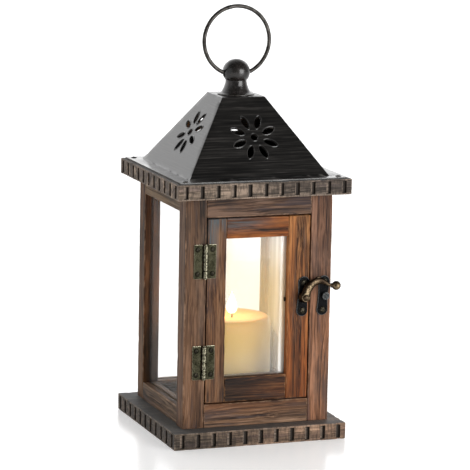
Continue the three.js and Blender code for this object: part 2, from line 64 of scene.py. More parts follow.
def add_camera():
    """The camera stands front left and a little above the lantern, far enough away for a long lens."""
    azimuth, elevation, roll = (math.radians(angle) for angle in (-20.302, 10.311, 1.106))
    distance, aim_height, aim_shift = 2.5188, 0.172624, 0.001659
    level = math.cos(elevation)
    right = Vector((math.cos(azimuth), math.sin(azimuth), 0))
    back = Vector((math.sin(azimuth) * level, -math.cos(azimuth) * level, math.sin(elevation)))
    up = back.cross(right)
    rolled_right = right * math.cos(roll) + up * math.sin(roll)
    rolled_up = up * math.cos(roll) - right * math.sin(roll)
    data = bpy.data.cameras.new("camera")
    data.sensor_width = 36
    data.lens = 216.8
    turn = Matrix((rolled_right, rolled_up, back)).transposed().to_4x4()
    place = right * aim_shift + Vector((0, 0, aim_height)) + back * distance
    bpy.context.scene.camera = placed("camera", data, Matrix.Translation(place) @ turn)


def add_area_light(name, place, aim, size, power):
    data = bpy.data.lights.new(name, "AREA")
    data.shape = "RECTANGLE"
    data.size, data.size_y = size
    data.energy = power
    direction = Vector(aim) - Vector(place)
    turn = direction.to_track_quat("-Z", "Y").to_matrix().to_4x4()
    placed(name, data, Matrix.Translation(place) @ turn)


def add_studio():
    """A white sweep behind the lantern, a dimmer room in front of it, and two soft boxes."""
    scene = bpy.context.scene
    scene.view_settings.view_transform = "Standard"
    world = bpy.data.worlds.new("studio")
    scene.world = world
    world.use_nodes = True
    tree = world.node_tree
    background = tree.nodes["Background"]
    direction = node(tree, "TexCoord").outputs["Generated"]
    behind = ranged(tree, part(tree, direction, Y), -0.1, 0.6, 0.26, 1.9)
    overhead = ranged(tree, part(tree, direction, Z), 0.35, 0.8, 1, 0.35)
    seen_by_camera = node(tree, "LightPath").outputs["Is Camera Ray"]
    room = times(tree, behind, overhead)
    strength = mixed_number(tree, seen_by_camera, room, 1.0)
    tree.links.new(strength, background.inputs["Strength"])
    background.inputs["Color"].default_value = (1, 1, 1, 1)
    middle = (0, 0, 0.16)
    add_area_light("key", (1.0, -1.9, 0.5), middle, (1.3, 1.5), 48)
    add_area_light("left_fill", (-1.9, -0.5, 0.75), middle, (1.2, 1.2), 2.5)


def add_floor():
    reach = 8
    corners = [(-reach, -reach, 0), (reach, -reach, 0), (reach, reach, 0), (-reach, reach, 0)]
    floor = new_object("floor", corners, [(0, 1, 2, 3)])
    floor.location.z = -0.05 * MM
    floor.data.materials.append(floor_material())


# ---------------------------------------------------------------- shader helpers

def node(tree, kind, inputs=None, **settings):
    """Adds one shader node. Inputs are values or sockets to link."""
    made = tree.nodes.new("ShaderNode" + kind)
    for name, value in settings.items():
        setattr(made, name, value)
    for name, value in (inputs or {}).items():
        connect(tree, made.inputs[name], value)
    return made


def connect(tree, socket, value):
    if isinstance(value, bpy.types.NodeSocket):
        tree.links.new(value, socket)
    else:
        socket.default_value = value


def arithmetic(tree, operation, first, second):
    return node(tree, "Math", {0: first, 1: second}, operation=operation).outputs[0]


def times(tree, first, second):
    return arithmetic(tree, "MULTIPLY", first, second)


def plus(tree, first, second):
    return arithmetic(tree, "ADD", first, second)


def mixed_number(tree, factor, low, high):
    return node(tree, "Mix", {0: factor, 2: low, 3: high}, data_type="FLOAT").outputs[0]


def mixed_colour(tree, factor, first, second, blend="MIX"):
    made = node(tree, "Mix", {0: factor, 6: first, 7: second}, data_type="RGBA", blend_type=blend)
    return made.outputs[2]


def weighted(tree, *terms):
    """The sum of (socket, weight) terms."""
    total = 0.0
    for value, weight in terms:
        total = plus(tree, total, times(tree, value, weight))
    return total


def ranged(tree, value, low, high, new_low=0.0, new_high=1.0):
    """Value from low to high, as a smooth step from new_low to new_high."""
    inputs = {"Value": value, 1: low, 2: high, 3: new_low, 4: new_high}
    return node(tree, "MapRange", inputs, interpolation_type="SMOOTHSTEP").outputs[0]


def vector_math(tree, operation, first, second, output=0):
    return node(tree, "VectorMath", {0: first, 1: second}, operation=operation).outputs[output]


def noise(tree, place, scales, detail=2.0, roughness=0.55, distortion=0.0):
    """Noise with a scale of its own along each axis, in waves to the metre."""
    stretched = vector_math(tree, "MULTIPLY", place, scales)
    quality = {"Detail": detail, "Roughness": roughness, "Distortion": distortion}
    return node(tree, "TexNoise", {"Vector": stretched, "Scale": 1.0, **quality}).outputs[0]


def part(tree, vector, axis):
    return node(tree, "SeparateXYZ", {"Vector": vector}).outputs["XYZ"[axis]]


def ramp(tree, factor, stops):
    made = node(tree, "ValToRGB", {"Fac": factor})
    elements = made.color_ramp.elements
    while len(elements) < len(stops):
        elements.new(0.5)
    for element, (place, colour) in zip(elements, stops):
        element.position = place
        element.color = (*colour, 1)
    return made.outputs["Color"]


def layered(tree, below, mask, low, high, amount, colour):
    """Colour laid over below, by up to amount, as mask goes from low to high."""
    return mixed_colour(tree, times(tree, ranged(tree, mask, low, high), amount), below, colour)


def bump(tree, height, distance, strength=1.0):
    inputs = {"Height": height, "Distance": distance, "Strength": strength}
    return node(tree, "Bump", inputs).outputs["Normal"]


def attribute(tree, name, output="Fac"):
    return node(tree, "Attribute", attribute_name=name).outputs[output]


def new_material(name):
    """A node material, its tree, and the place on the piece in metres."""
    material = bpy.data.materials.new(name)
    material.use_nodes = True
    tree = material.node_tree
    return material, tree, node(tree, "TexCoord").outputs["Object"]


def dressed(material, inputs):
    """Sets or links inputs of the material's Principled shader."""
    tree = material.node_tree
    for name, value in inputs.items():
        connect(tree, tree.nodes["Principled BSDF"].inputs[name], value)
    return material


def scaled(colour, share):
    return (*[channel * share for channel in colour], 1)


# ---------------------------------------------------------------- materials

def floor_material():
    material, tree, place = new_material("floor_white")
    cloud = noise(tree, place, (0.8, 0.8, 0.8), 3)
    shade = mixed_colour(tree, cloud, (0.93, 0.93, 0.93, 1), (0.97, 0.97, 0.97, 1))
    return dressed(material, {
        "Base Color": shade,
        "Emission Color": shade,
        "Emission Strength": 0.38,
        "Roughness": 0.2,
        "Specular IOR Level": 0.3,
    })


def wood_material(name, char, brown, bright, worn, soot, wear_amount=1.0, saw=0.0):
    """Stained and brushed softwood. Grain runs along the first axis of the board's own coordinates."""
    material, tree, _ = new_material(name)
    board = attribute(tree, "grain", "Vector")
    sway = noise(tree, board, (7, 30, 30), 2)
    swayed = {"Y": times(tree, sway, 0.010), "Z": times(tree, sway, 0.008)}
    fibre = vector_math(tree, "ADD", board, node(tree, "CombineXYZ", swayed).outputs[0])
    bands = noise(tree, fibre, (3, 110, 110), 2)
    streaks = noise(tree, fibre, (9, 640, 640), 4, 0.65)
    hairs = noise(tree, fibre, (34, 2300, 2300), 2, 0.6)
    patches = noise(tree, board, (16, 60, 60), 4, 0.65)
    blotches = noise(tree, board, (17, 130, 130), 3, 0.6)
    scuffs = noise(tree, board, (110, 330, 330), 4, 0.7)

    rings_each_metre = 1 / (2.5 * MM)
    across_rings = (0, 0.8 * rings_each_metre, 0.6 * rings_each_metre)
    across = vector_math(tree, "DOT_PRODUCT", fibre, across_rings, "Value")
    ring = arithmetic(tree, "FRACT", plus(tree, across, times(tree, bands, 2.2)), 0)
    late_wood = times(tree, ranged(tree, ring, 0.45, 0.98), 0.42)

    pale, purple_grey, soot_black, frost_grey = (
        (*worn, 1), (0.085, 0.062, 0.060, 1), (0.040, 0.034, 0.031, 1), (0.075, 0.086, 0.092, 1))
    tone = weighted(tree, (bands, 0.34), (streaks, 0.40), (hairs, 0.26))
    stain = ramp(tree, tone, [(0.40, char), (0.465, brown), (0.535, bright), (0.63, worn)])
    stain = layered(tree, stain, hairs, 0.54, 0.64, 0.35, pale)
    stain = mixed_colour(tree, late_wood, stain, scaled(char, 1.7))
    stain = layered(tree, stain, blotches, 0.47, 0.33, 0.6, purple_grey)
    stain = layered(tree, stain, blotches, 0.53, 0.68, 0.55, pale)
    stain = layered(tree, stain, patches, 0.48, 0.68, soot, soot_black)
    stain = mixed_colour(tree, 1.0, stain, attribute(tree, "tint", "Vector"), "MULTIPLY")
    rubbed = plus(tree, times(tree, attribute(tree, "wear"), 0.5), scuffs)
    stain = layered(tree, stain, rubbed, 0.80, 1.20, wear_amount, pale)
    stain = layered(tree, stain, streaks, 0.36, 0.56, attribute(tree, "frost"), frost_grey)
    if saw:
        teeth = noise(tree, board, (520, 130, 130), 4, 0.7)
        stain = layered(tree, stain, teeth, 0.46, 0.58, saw, (*char, 1))
        # The plates get painted shade in their notches and a painted top light on their upward faces.
        stain = notch_stain_and_shade(tree, stain, char, worn, streaks)
    relief = weighted(tree, (streaks, 1), (hairs, 0.5), (late_wood, -0.8))
    return dressed(material, {
        "Base Color": stain,
        "Roughness": mixed_number(tree, streaks, 0.78, 0.5),
        "Specular IOR Level": 0.2,
        "Normal": bump(tree, relief, 0.5 * MM, 0.6),
    })


def notch_stain_and_shade(tree, stain, char, worn, streaks):
    """Bare wood on the floors of the notches, painted shade down their walls and on the half of each floor
    beyond its middle, and a painted top light of pale grey on the upward faces.
    """
    # Upward faces are painted a paler grey: a painted top light.
    painted_top_light_mask = part(tree, node(tree, "NewGeometry").outputs["Normal"], Z)
    stain = layered(tree, stain, painted_top_light_mask, 0.7, 0.95, 0.55, (0.15, 0.155, 0.155, 1))
    bare_and_shade = attribute(tree, "bare_and_shade")
    floors = ranged(tree, bare_and_shade, 0.9, 0.97)
    # Painted shade: the notch walls, and the half of each notch floor beyond its middle, are darkened towards
    # char.
    walls = arithmetic(tree, "SUBTRACT", ranged(tree, bare_and_shade, 0.05, 0.25), floors)
    stain = mixed_colour(tree, walls, stain, scaled(char, 1.9))
    bare = mixed_colour(tree, ranged(tree, streaks, 0.35, 0.62), scaled(worn, 0.3), scaled(worn, 0.75))
    return mixed_colour(tree, floors, stain, bare)


def brushed_black_material():
    """Black lacquer over sheet steel, brushed level with the ground so that paler streaks show."""
    material, tree, place = new_material("brushed_black_sheet")
    streaks = noise(tree, place, (16, 16, 760), 4, 0.6)
    lines = noise(tree, place, (40, 40, 2300), 2, 0.6)
    clouds = noise(tree, place, (40, 40, 60), 3)
    tone = weighted(tree, (streaks, 0.6), (lines, 0.4))
    black, grey, pale = (0.003, 0.0027, 0.0025), (0.012, 0.011, 0.010), (0.046, 0.042, 0.039)
    lacquer = ramp(tree, tone, [(0.43, black), (0.53, grey), (0.65, pale)])
    # High wear turns the lacquer paler: rubbed paint on the hole lips, and a painted reflection on the flange.
    worn = ranged(tree, plus(tree, attribute(tree, "wear"), clouds), 0.95, 1.5)
    lacquer = mixed_colour(tree, worn, lacquer, (0.16, 0.15, 0.14, 1))
    height = plus(tree, tone, times(tree, clouds, 0.4))
    return dressed(material, {
        "Base Color": lacquer,
        "Roughness": mixed_number(tree, tone, 0.25, 0.5),
        "Specular IOR Level": 0.22,
        "Coat Weight": mixed_number(tree, attribute(tree, "wear"), 0.36, 0.8),
        "Coat Roughness": 0.09,
        "Normal": bump(tree, height, 0.12 * MM, 0.5),
        "Coat Normal": bump(tree, clouds, 0.05 * MM, 0.3),
    })


def metal_material(name, dark, light, rub_and_highlight, roughness, metallic=1.0, grain=450, relief=0.05, edge=0.3):
    """Aged metal: two tones in clouds and specks, rubbed bright where the wear attribute is high.

    edge is how strongly it mirrors at a glancing angle, kept low by the patina.
    """
    material, tree, place = new_material(name)
    clouds = noise(tree, place, (grain * 0.35,) * 3, 4, 0.6)
    specks = noise(tree, place, (grain * 2.2,) * 3, 3, 0.6)
    tone = weighted(tree, (clouds, 0.6), (specks, 0.4))
    colour = ramp(tree, tone, [(0.38, dark), (0.62, light)])
    worn = ranged(tree, plus(tree, attribute(tree, "wear"), specks), 0.9, 1.35)
    # Where worn the colour turns paler: rubbed metal, and on the black latch plates, which are not metallic, a
    # painted highlight on the rims.
    colour = mixed_colour(tree, worn, colour, (*rub_and_highlight, 1))
    return dressed(material, {
        "Base Color": colour,
        "Roughness": mixed_number(tree, specks, roughness - 0.12, roughness + 0.14),
        "Metallic": metallic,
        "Specular IOR Level": 0.5 * edge,
        "Specular Tint": (edge, edge, edge, 1),
        "Normal": bump(tree, tone, relief * MM, 0.6),
    })


def glass_material(name, haze):
    """Thin window glass with a faint bloom on it."""
    material, tree, place = new_material(name)
    smears = noise(tree, place, (22, 22, 9), 3, 0.6, 0.6)
    return dressed(material, {
        "Base Color": (0.93, 0.95, 0.94, 1),
        "Alpha": mixed_number(tree, smears, haze * 0.75, haze * 1.25),
        "Roughness": 0.06,
    })


def door_glass_material():
    """Glass with a heavier bloom: thicker and painted a warm glow around where the flame shows through, and left
    unwiped down its right side.
    """
    material = glass_material("door_glass", 0.11)
    tree = material.node_tree
    place = node(tree, "TexCoord").outputs["Object"]
    haze = tree.nodes["Principled BSDF"].inputs["Alpha"].links[0].from_socket
    # A painted glow: the glass is tinted amber and hazed more around the point where the flame shows through it.
    flame_seen_through = (-36 * MM, -59 * MM, 124 * MM)
    away = vector_math(tree, "DISTANCE", place, flame_seen_through, "Value")
    painted_glow = ranged(tree, away, 34 * MM, 98 * MM, 1, 0)
    candle_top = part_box("candle")[1].z
    wiped_further = ranged(tree, part(tree, place, Z), candle_top - 14 * MM, candle_top + 14 * MM, 8 * MM, 0)
    beyond = arithmetic(tree, "SUBTRACT", part(tree, place, X), wiped_further)
    wipes = ranged(tree, noise(tree, place, (330, 1, 5), 2), 0.3, 0.6, 0.5, 1)
    bloom = times(tree, ranged(tree, beyond, 9 * MM, 18 * MM, 0, 0.4), wipes)
    return dressed(material, {
        "Base Color": mixed_colour(tree, painted_glow, (0.84, 0.83, 0.79, 1), (0.82, 0.59, 0.22, 1)),
        "Alpha": weighted(tree, (haze, 1), (painted_glow, 0.16), (bloom, 1)),
    })


def wax_material():
    material, tree, place = new_material("candle_wax")
    clouds = noise(tree, place, (45, 45, 30), 4, 0.55)
    specks = noise(tree, place, (900, 900, 900), 2)
    colour = ramp(tree, clouds, [(0.35, (0.54, 0.36, 0.09)), (0.65, (0.64, 0.45, 0.14))])
    # The top of the candle, marked by the wear attribute, is painted a warmer amber: a painted glow.
    colour = mixed_colour(tree, attribute(tree, "wear"), colour, (0.60, 0.38, 0.15, 1))
    return dressed(material, {
        "Base Color": colour,
        "Subsurface Weight": 0.35,
        "Subsurface Radius": (1.0, 0.45, 0.2),
        "Subsurface Scale": 9 * MM,
        "Roughness": mixed_number(tree, clouds, 0.42, 0.58),
        "Normal": bump(tree, mixed_number(tree, 0.3, clouds, specks), 0.3 * MM, 0.4),
    })


def wick_material():
    material, tree, place = new_material("burnt_wick")
    braid = noise(tree, place, (900, 900, 1800), 3)
    colour = ramp(tree, braid, [(0.35, (0.012, 0.009, 0.007)), (0.65, (0.09, 0.06, 0.04))])
    return dressed(material, {
        "Base Color": colour,
        "Roughness": 0.95,
        "Normal": bump(tree, braid, 0.3 * MM),
    })


def flame_material():
    """The flame is palest in the middle, amber towards its tip and clear towards its edges."""
    material, tree, place = new_material("flame")
    wick_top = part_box("candle_wick")[1].z
    flicker = noise(tree, place, (260, 260, 90), 2)
    height = weighted(tree, (part(tree, place, Z), 1), (flicker, 2 * MM))
    level = ranged(tree, height, wick_top, wick_top + 20 * MM)
    foot, middle, tip = (1.0, 0.80, 0.50), (1.0, 0.86, 0.60), (1.0, 0.62, 0.22)
    colour = ramp(tree, level, [(0.0, foot), (0.5, middle), (1.0, tip)])
    edge_on = node(tree, "LayerWeight", {"Blend": 0.5}).outputs["Facing"]
    return dressed(material, {
        "Base Color": colour,
        "Emission Color": colour,
        "Emission Strength": 9.0,
        "Alpha": ranged(tree, edge_on, 0.15, 0.85, 1, 0),
    })


# ---------------------------------------------------------------- mesh helpers

def corners(node_name):
    """The low and high corners of a CAD node's box."""
    return [np.array(corner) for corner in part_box(node_name)]


def middle(node_name):
    low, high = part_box(node_name)
    return (low + high) / 2


def new_object(name, points, faces):
    mesh = bpy.data.meshes.new(name)
    mesh.from_pydata([tuple(map(float, p)) for p in points], [], [tuple(map(int, f)) for f in faces])
    mesh.update()
    return placed(name, mesh)


def coordinates(piece):
    points = np.zeros(len(piece.data.vertices) * 3)
    piece.data.vertices.foreach_get("co", points)
    return points.reshape(-1, 3)


def set_coordinates(piece, points):
    piece.data.vertices.foreach_set("co", np.ascontiguousarray(points, float).ravel())
    piece.data.update()


def apply_modifiers(piece):
    bpy.context.view_layer.update()
    evaluated = piece.evaluated_get(bpy.context.evaluated_depsgraph_get())
    mesh = bpy.data.meshes.new_from_object(evaluated)
    piece.modifiers.clear()
    piece.data = mesh


def combine(target, tool, operation):
    """Cuts tool out of target, or joins it on, and removes tool."""
    modifier = target.modifiers.new(operation.lower(), "BOOLEAN")
    modifier.operation = operation
    modifier.solver = "MANIFOLD"
    modifier.object = tool
    apply_modifiers(target)
    bpy.data.objects.remove(tool)


def carve(target, *tools):
    for tool in tools:
        combine(target, tool, "DIFFERENCE")


def unite(target, *others):
    for other in others:
        combine(target, other, "UNION")


def transformed(points, matrix):
    points = np.asarray(points, float)
    turn = np.array(matrix.to_3x3())
    return points @ turn.T + np.array(matrix.translation)


def move(piece, matrix):
    piece.data.transform(matrix)
    piece.data.update()
    return piece


def ripples(points, wavelength, seed, waves=10):
    """Smooth noise from about -1 to 1 at each point, as a sum of random plane waves."""
    source = np.random.default_rng(seed)
    directions = source.normal(size=(waves, 3)) * FULL_TURN / np.asarray(wavelength)
    phases = source.uniform(0, FULL_TURN, waves)
    return np.sin(points @ directions.T + phases).mean(axis=1) * math.sqrt(waves) * 0.6


def smooth_step(value, low, high):
    share = np.clip((value - low) / (high - low), 0, 1)
    return share * share * (3 - 2 * share)


def store(piece, name, values):
    """Keeps one number or one vector for each vertex, where materials can read it."""
    kind = "FLOAT" if np.ndim(values) == 1 else "FLOAT_VECTOR"
    layer = piece.data.attributes.get(name) or piece.data.attributes.new(name, kind, "POINT")
    field = "value" if kind == "FLOAT" else "vector"
    layer.data.foreach_set(field, np.asarray(values, np.float32).ravel())


def rims(piece):
    """How sharply the surface turns outward at each vertex, from 0 on flats to 1 on edges."""
    shape = bmesh.new()
    shape.from_mesh(piece.data)
    sharp = np.zeros(len(shape.verts))
    for edge in shape.edges:
        if len(edge.link_faces) == 2 and edge.is_convex:
            bend = (math.degrees(edge.calc_face_angle(0)) - 18) / 22
            for vertex in edge.verts:
                sharp[vertex.index] = max(sharp[vertex.index], min(bend, 1))
    shape.free()
    return sharp


def settle(piece, body, slot, material, *nodes, sharp=SHARP_ANGLE):
    """Gives a finished piece its body, smooth shading and material, and hides the CAD nodes it stands for."""
    piece.data.shade_smooth()
    piece.data.set_sharp_from_angle(angle=sharp)
    piece.data.materials.clear()
    piece.data.materials.append(material)
    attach(piece, body)
    if nodes:
        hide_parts(*nodes)
    return piece


def lattice(lines):
    """The surface of a block cut by planes across its three axes: its points and quads."""
    sizes = [len(line) for line in lines]
    quads = []
    for axis in range(3):
        across, along = (axis + 1) % 3, (axis + 2) % 3
        for side in (0, sizes[axis] - 1):
            grid = np.zeros((sizes[across], sizes[along], 3), int)
            grid[..., axis] = side
            grid[..., across] = np.arange(sizes[across])[:, None]
            grid[..., along] = np.arange(sizes[along])[None, :]
            ids = np.ravel_multi_index(tuple(np.moveaxis(grid, -1, 0)), sizes)
            corners = [ids[:-1, :-1], ids[1:, :-1], ids[1:, 1:], ids[:-1, 1:]]
            quad = np.stack(corners, -1).reshape(-1, 4)
            quads.append(quad if side else quad[:, ::-1])
    faces = np.concatenate(quads)
    used, compact = np.unique(faces, return_inverse=True)
    index = np.unravel_index(used, sizes)
    points = np.stack([lines[axis][index[axis]] for axis in range(3)], -1)
    return points, compact.reshape(faces.shape)


def cut_lines(low, high, radius, step, extra=()):
    """Where planes cross one axis of a rounded block: close together at its two ends."""
    near = np.array([0, 0.586 * radius, radius, radius + 0.7 * MM, radius + 2 * MM])
    near = near[near < (high - low) * 0.45]
    inner_low, inner_high = low + near[-1], high - near[-1]
    count = max(1, round((inner_high - inner_low) / step))
    middle = np.linspace(inner_low, inner_high, count + 1)
    places = np.concatenate([low + near, high - near, middle, list(extra)])
    places = np.sort(places)
    return places[np.concatenate([[True], np.diff(places) > 0.02 * MM])]


def rounded(points, low, high, radius):
    """Points of a block moved on to its rounded edges, and which way each one faces."""
    core = np.clip(points, low + radius, high - radius)
    away = points - core
    facing = away / np.maximum(np.linalg.norm(away, axis=1, keepdims=True), 1e-9)
    return core + radius * facing, facing


def edge_closeness(points, low, high, reach):
    """1 on the long edges of a block, and 0 at reach from them."""
    inside = np.minimum(points - low, high - points)
    second = np.sort(inside, axis=1)[:, 1]
    return 1 - smooth_step(second, 0, reach)


def block_piece(name, low, high, radius=0.2 * MM):
    """A plain block with slightly eased edges, used for panes and as a cutting tool."""
    low, high = np.array(low), np.array(high)
    lines = [np.array([low[a], low[a] + 0.586 * radius, low[a] + radius,
                       high[a] - radius, high[a] - 0.586 * radius, high[a]]) for a in range(3)]
    points, faces = lattice(lines)
    points, _ = rounded(points, low, high, radius)
    return new_object(name, points, faces)


def lathe(name, profile, sides):
    """A turned shape about Z, from (radius, height) pairs that start and end on the axis."""
    profile = np.asarray(profile, float)
    turned = profile[1:-1]
    ring = circle((0, 0), 1, sides)
    points = [(0, 0, profile[0][1])]
    for radius, height in turned:
        points.extend((radius * c, radius * s, height) for c, s in ring)
    points.append((0, 0, profile[-1][1]))
    faces = []
    last = len(points) - 1
    for i in range(sides):
        j = (i + 1) % sides
        faces.append((0, 1 + j, 1 + i))
        for row in range(len(turned) - 1):
            low, high = 1 + row * sides, 1 + (row + 1) * sides
            faces.append((low + i, low + j, high + j, high + i))
        top = 1 + (len(turned) - 1) * sides
        faces.append((top + i, top + j, last))
    return new_object(name, points, faces)


def drill(name, radius, length, sides=24):
    end = length / 2
    return lathe(name, [(0, -end), (radius, -end), (radius, end), (0, end)], sides)


def rod(name, radius, length, sides, ease, end_radius=None):
    """A round bar about Z, centred on the origin, with its ends eased."""
    end = length / 2
    end_radius = end_radius or radius - ease
    half = [(end_radius, end), (radius, end - ease)]
    lower = [(r, -z) for r, z in half]
    return lathe(name, [(0, -end), *lower, *half[::-1], (0, end)], sides)


def tube(name, path, radii, sides, flat_axis=(0, 1, 0), ends=True):
    """A tube along path. radii holds a pair for each point: across the flat axis, and along it."""
    path = np.asarray(path, float)
    flat = np.asarray(flat_axis, float)
    ahead = np.gradient(path, axis=0) if ends else np.roll(path, -1, 0) - np.roll(path, 1, 0)
    ahead /= np.linalg.norm(ahead, axis=1, keepdims=True)
    side = np.cross(flat, ahead)
    side /= np.linalg.norm(side, axis=1, keepdims=True)
    angles = np.arange(sides) * FULL_TURN / sides
    points = []
    for centre, across, (wide, deep) in zip(path, side, radii):
        for angle in angles:
            points.append(centre + across * wide * math.cos(angle) + flat * deep * math.sin(angle))
    count = len(path)
    faces = []
    for row in range(count - 1 if ends else count):
        low, high = row * sides, ((row + 1) % count) * sides
        for i in range(sides):
            j = (i + 1) % sides
            faces.append((low + i, high + i, high + j, low + j))
    if ends:
        faces.append(tuple(range(sides)))
        faces.append(tuple(range(count * sides - 1, (count - 1) * sides - 1, -1)))
    return new_object(name, points, faces)


def circle(centre, radius, sides):
    angles = np.arange(sides) * FULL_TURN / sides
    return np.asarray(centre, float) + radius * np.stack([np.cos(angles), np.sin(angles)], -1)


def inset(loop, distance):
    """A loop of flat points, counter-clockwise, moved inward by distance."""
    ahead = np.roll(loop, -1, 0) - np.roll(loop, 1, 0)
    ahead /= np.linalg.norm(ahead, axis=1, keepdims=True)
    return loop + distance * np.stack([-ahead[:, 1], ahead[:, 0]], -1)


def fill(outline, holes, extra=(), rings=()):
    """Triangles that fill a flat outline around its holes. Points keep the order given here."""
    loops = [outline, *holes]
    points = [Vector(p) for loop in (*loops, *rings) for p in loop] + [Vector(p) for p in extra]
    faces, edges, start = [], [], 0
    for number, loop in enumerate((*loops, *rings)):
        ids = list(range(start, start + len(loop)))
        if number < len(loops):
            faces.append(ids)
        else:
            edges.extend(zip(ids, ids[1:] + ids[:1]))
        start += len(loop)
    found, _, triangles, origins, _, sources = delaunay_2d_cdt(points, edges, faces, 1, 1e-9)
    kept = [t for t, source in zip(triangles, sources) if source == [0]]
    order = [origin[0] if origin else -1 for origin in origins]
    return [[order[i] for i in triangle] for triangle in kept]


def slab(name, levels, hole_levels=()):
    """A flat piece with its back at low heights and its front at high ones.

    levels is a list of (loop, height) from back to front. hole_levels has one such list for each hole.
    """
    points, faces = [], []

    def add_loop(loop, height):
        start = len(points)
        points.extend((x, y, height) for x, y in loop)
        return list(range(start, start + len(loop)))

    def add_walls(stack, outward):
        rows = [add_loop(loop, height) for loop, height in stack]
        for low, high in zip(rows, rows[1:]):
            for i in range(len(low)):
                j = (i + 1) % len(low)
                quad = (low[i], low[j], high[j], high[i])
                faces.append(quad if outward else quad[::-1])
        return rows[0], rows[-1]

    stacks = [levels, *hole_levels]
    ends = [add_walls(stack, number == 0) for number, stack in enumerate(stacks)]
    for end, pick in ((0, 0), (1, -1)):
        loops = [stack[pick][0] for stack in stacks]
        ids = [i for pair in ends for i in pair[end]]
        for triangle in fill(loops[0], loops[1:]):
            corners = [ids[i] for i in triangle]
            faces.append(corners if end else corners[::-1])
    return new_object(name, points, faces)


# Turns a piece drawn in X and Y, facing +Z, so that it faces the front of the lantern.
FACE_FRONT = Matrix.Rotation(math.pi / 2, 4, "X")


# ---------------------------------------------------------------- wooden pieces

# How the stain differs from board to board, and from one end of a board to the other: an axis, the
# tint at its low end and the tint at its high end.
TINTS = {
    "base_plate": (X, (0.62, 0.60, 0.56), (1.70, 1.38, 1.16)),
    "top_plate": (X, (1.50, 1.45, 1.38), (0.80, 0.80, 0.82)),
    "post_front_left": (Z, (0.80, 0.72, 0.66), (0.58, 0.55, 0.53)),
    "post_front_right": (Z, (1.40, 1.12, 1.00), (0.80, 0.70, 0.72)),
    "post_back_left": (Z, (0.62, 0.54, 0.40), (0.58, 0.50, 0.42)),
    "front_top_rail": (Z, (0.60, 0.60, 0.66), (0.60, 0.60, 0.66)),
    "front_bottom_rail": (Z, (1.30, 1.35, 1.40), (0.62, 0.46, 0.34)),
    "left_top_rail": (Z, (0.66, 0.72, 0.64), (0.66, 0.72, 0.64)),
    "left_bottom_rail": (Z, (0.85, 0.90, 0.88), (0.85, 0.90, 0.88)),
    "door_hinge_stile": (Z, (0.62, 0.66, 0.74), (0.62, 0.66, 0.74)),
    "door_latch_stile": (Z, (1.05, 0.66, 0.34), (1.25, 1.12, 0.84)),
    "door_top_rail": (Z, (0.82, 0.52, 0.22), (0.82, 0.56, 0.30)),
    "door_bottom_rail": (X, (0.16, 0.17, 0.20), (0.42, 0.34, 0.28)),
}


def tinted(points, low, high, node_name):
    """The tint at each point of a board."""
    axis, first, last = TINTS.get(node_name, (Z, (1, 1, 1), (1, 1, 1)))
    share = smooth_step(points[:, axis], low[axis], high[axis])[:, None]
    return np.asarray(first) * (1 - share) + np.asarray(last) * share


def board_marks(piece, low, high, axis, seed, node_name, wear=None):
    """Keeps the grain coordinates, the stain and the worn edges of a board for its material."""
    points = coordinates(piece)
    low, high = np.array(low), np.array(high)
    order = [axis, (axis + 1) % 3, (axis + 2) % 3]
    offset = np.random.default_rng(seed).uniform(0, 3, 3)
    store(piece, "grain", (points - (low + high) / 2)[:, order] + offset)
    store(piece, "tint", tinted(points, low, high, node_name))
    closeness = edge_closeness(points, low, high, 2.6 * MM)
    store(piece, "wear", closeness if wear is None else np.maximum(closeness, wear))
    # The door's upper hinge corner has weathered to a bluish grey.
    stile_low, stile_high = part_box("door_hinge_stile")
    corner_x, corner_z = stile_low.x, stile_high.z
    beside = np.minimum(points[:, X] - corner_x, corner_z - points[:, Z])
    reach = np.maximum(points[:, X] - corner_x, corner_z - points[:, Z])
    frost = (1 - smooth_step(beside, 5 * MM, 12 * MM)) * (1 - smooth_step(reach, 26 * MM, 70 * MM))
    store(piece, "frost", frost if "door" in piece.name else 0 * frost)


def dent(points, facing, closeness, seed, depth=0.16 * MM, chips=0.5 * MM):
    """Hand-planed unevenness over the whole board, and rubbed dips along its edges."""
    flat = 0.5 + 0.5 * ripples(points, 26 * MM, seed)
    chip = smooth_step(ripples(points, 11 * MM, seed + 1), 0.35, 1.1) * closeness
    return points - facing * (depth * np.clip(flat, 0, 1) + chips * chip)[:, None]


def board(node_name, body, slot, material, axis, seed, radius=0.9 * MM, step=5 * MM):
    """A planed board in the place of a CAD node, its grain along axis."""
    low, high = corners(node_name)
    lines = [cut_lines(low[a], high[a], radius, step) for a in range(3)]
    points, faces = lattice(lines)
    points, facing = rounded(points, low, high, radius)
    points = dent(points, facing, edge_closeness(points, low, high, 2.6 * MM), seed)
    piece = new_object(node_name + "_board", points, faces)
    carve(piece, *grooves_in(low, high))
    board_marks(piece, low, high, axis, seed, node_name)
    return settle(piece, body, slot, material, node_name)


def grooves_in(low, high):
    """A cutting tool for each pane of glass that reaches into the board between low and high."""
    tools = []
    for pane in ("left_glass", "right_glass", "back_glass", "door_glass"):
        pane_low, pane_high = corners(pane)
        pane_low, pane_high = pane_low - GAP, pane_high + GAP
        if np.all(pane_low < high) and np.all(low < pane_high):
            tools.append(block_piece("groove", pane_low, pane_high))
    return tools


NOTCH_COUNT = 11
NOTCH_HALF_WIDTH = 2 * MM
NOTCH_DEPTH = 2.5 * MM


def notch_places(low, high):
    """Centres of the notches along one edge of a plate."""
    pitch = (high - low) / NOTCH_COUNT
    return low + pitch * (np.arange(NOTCH_COUNT) + 0.5)


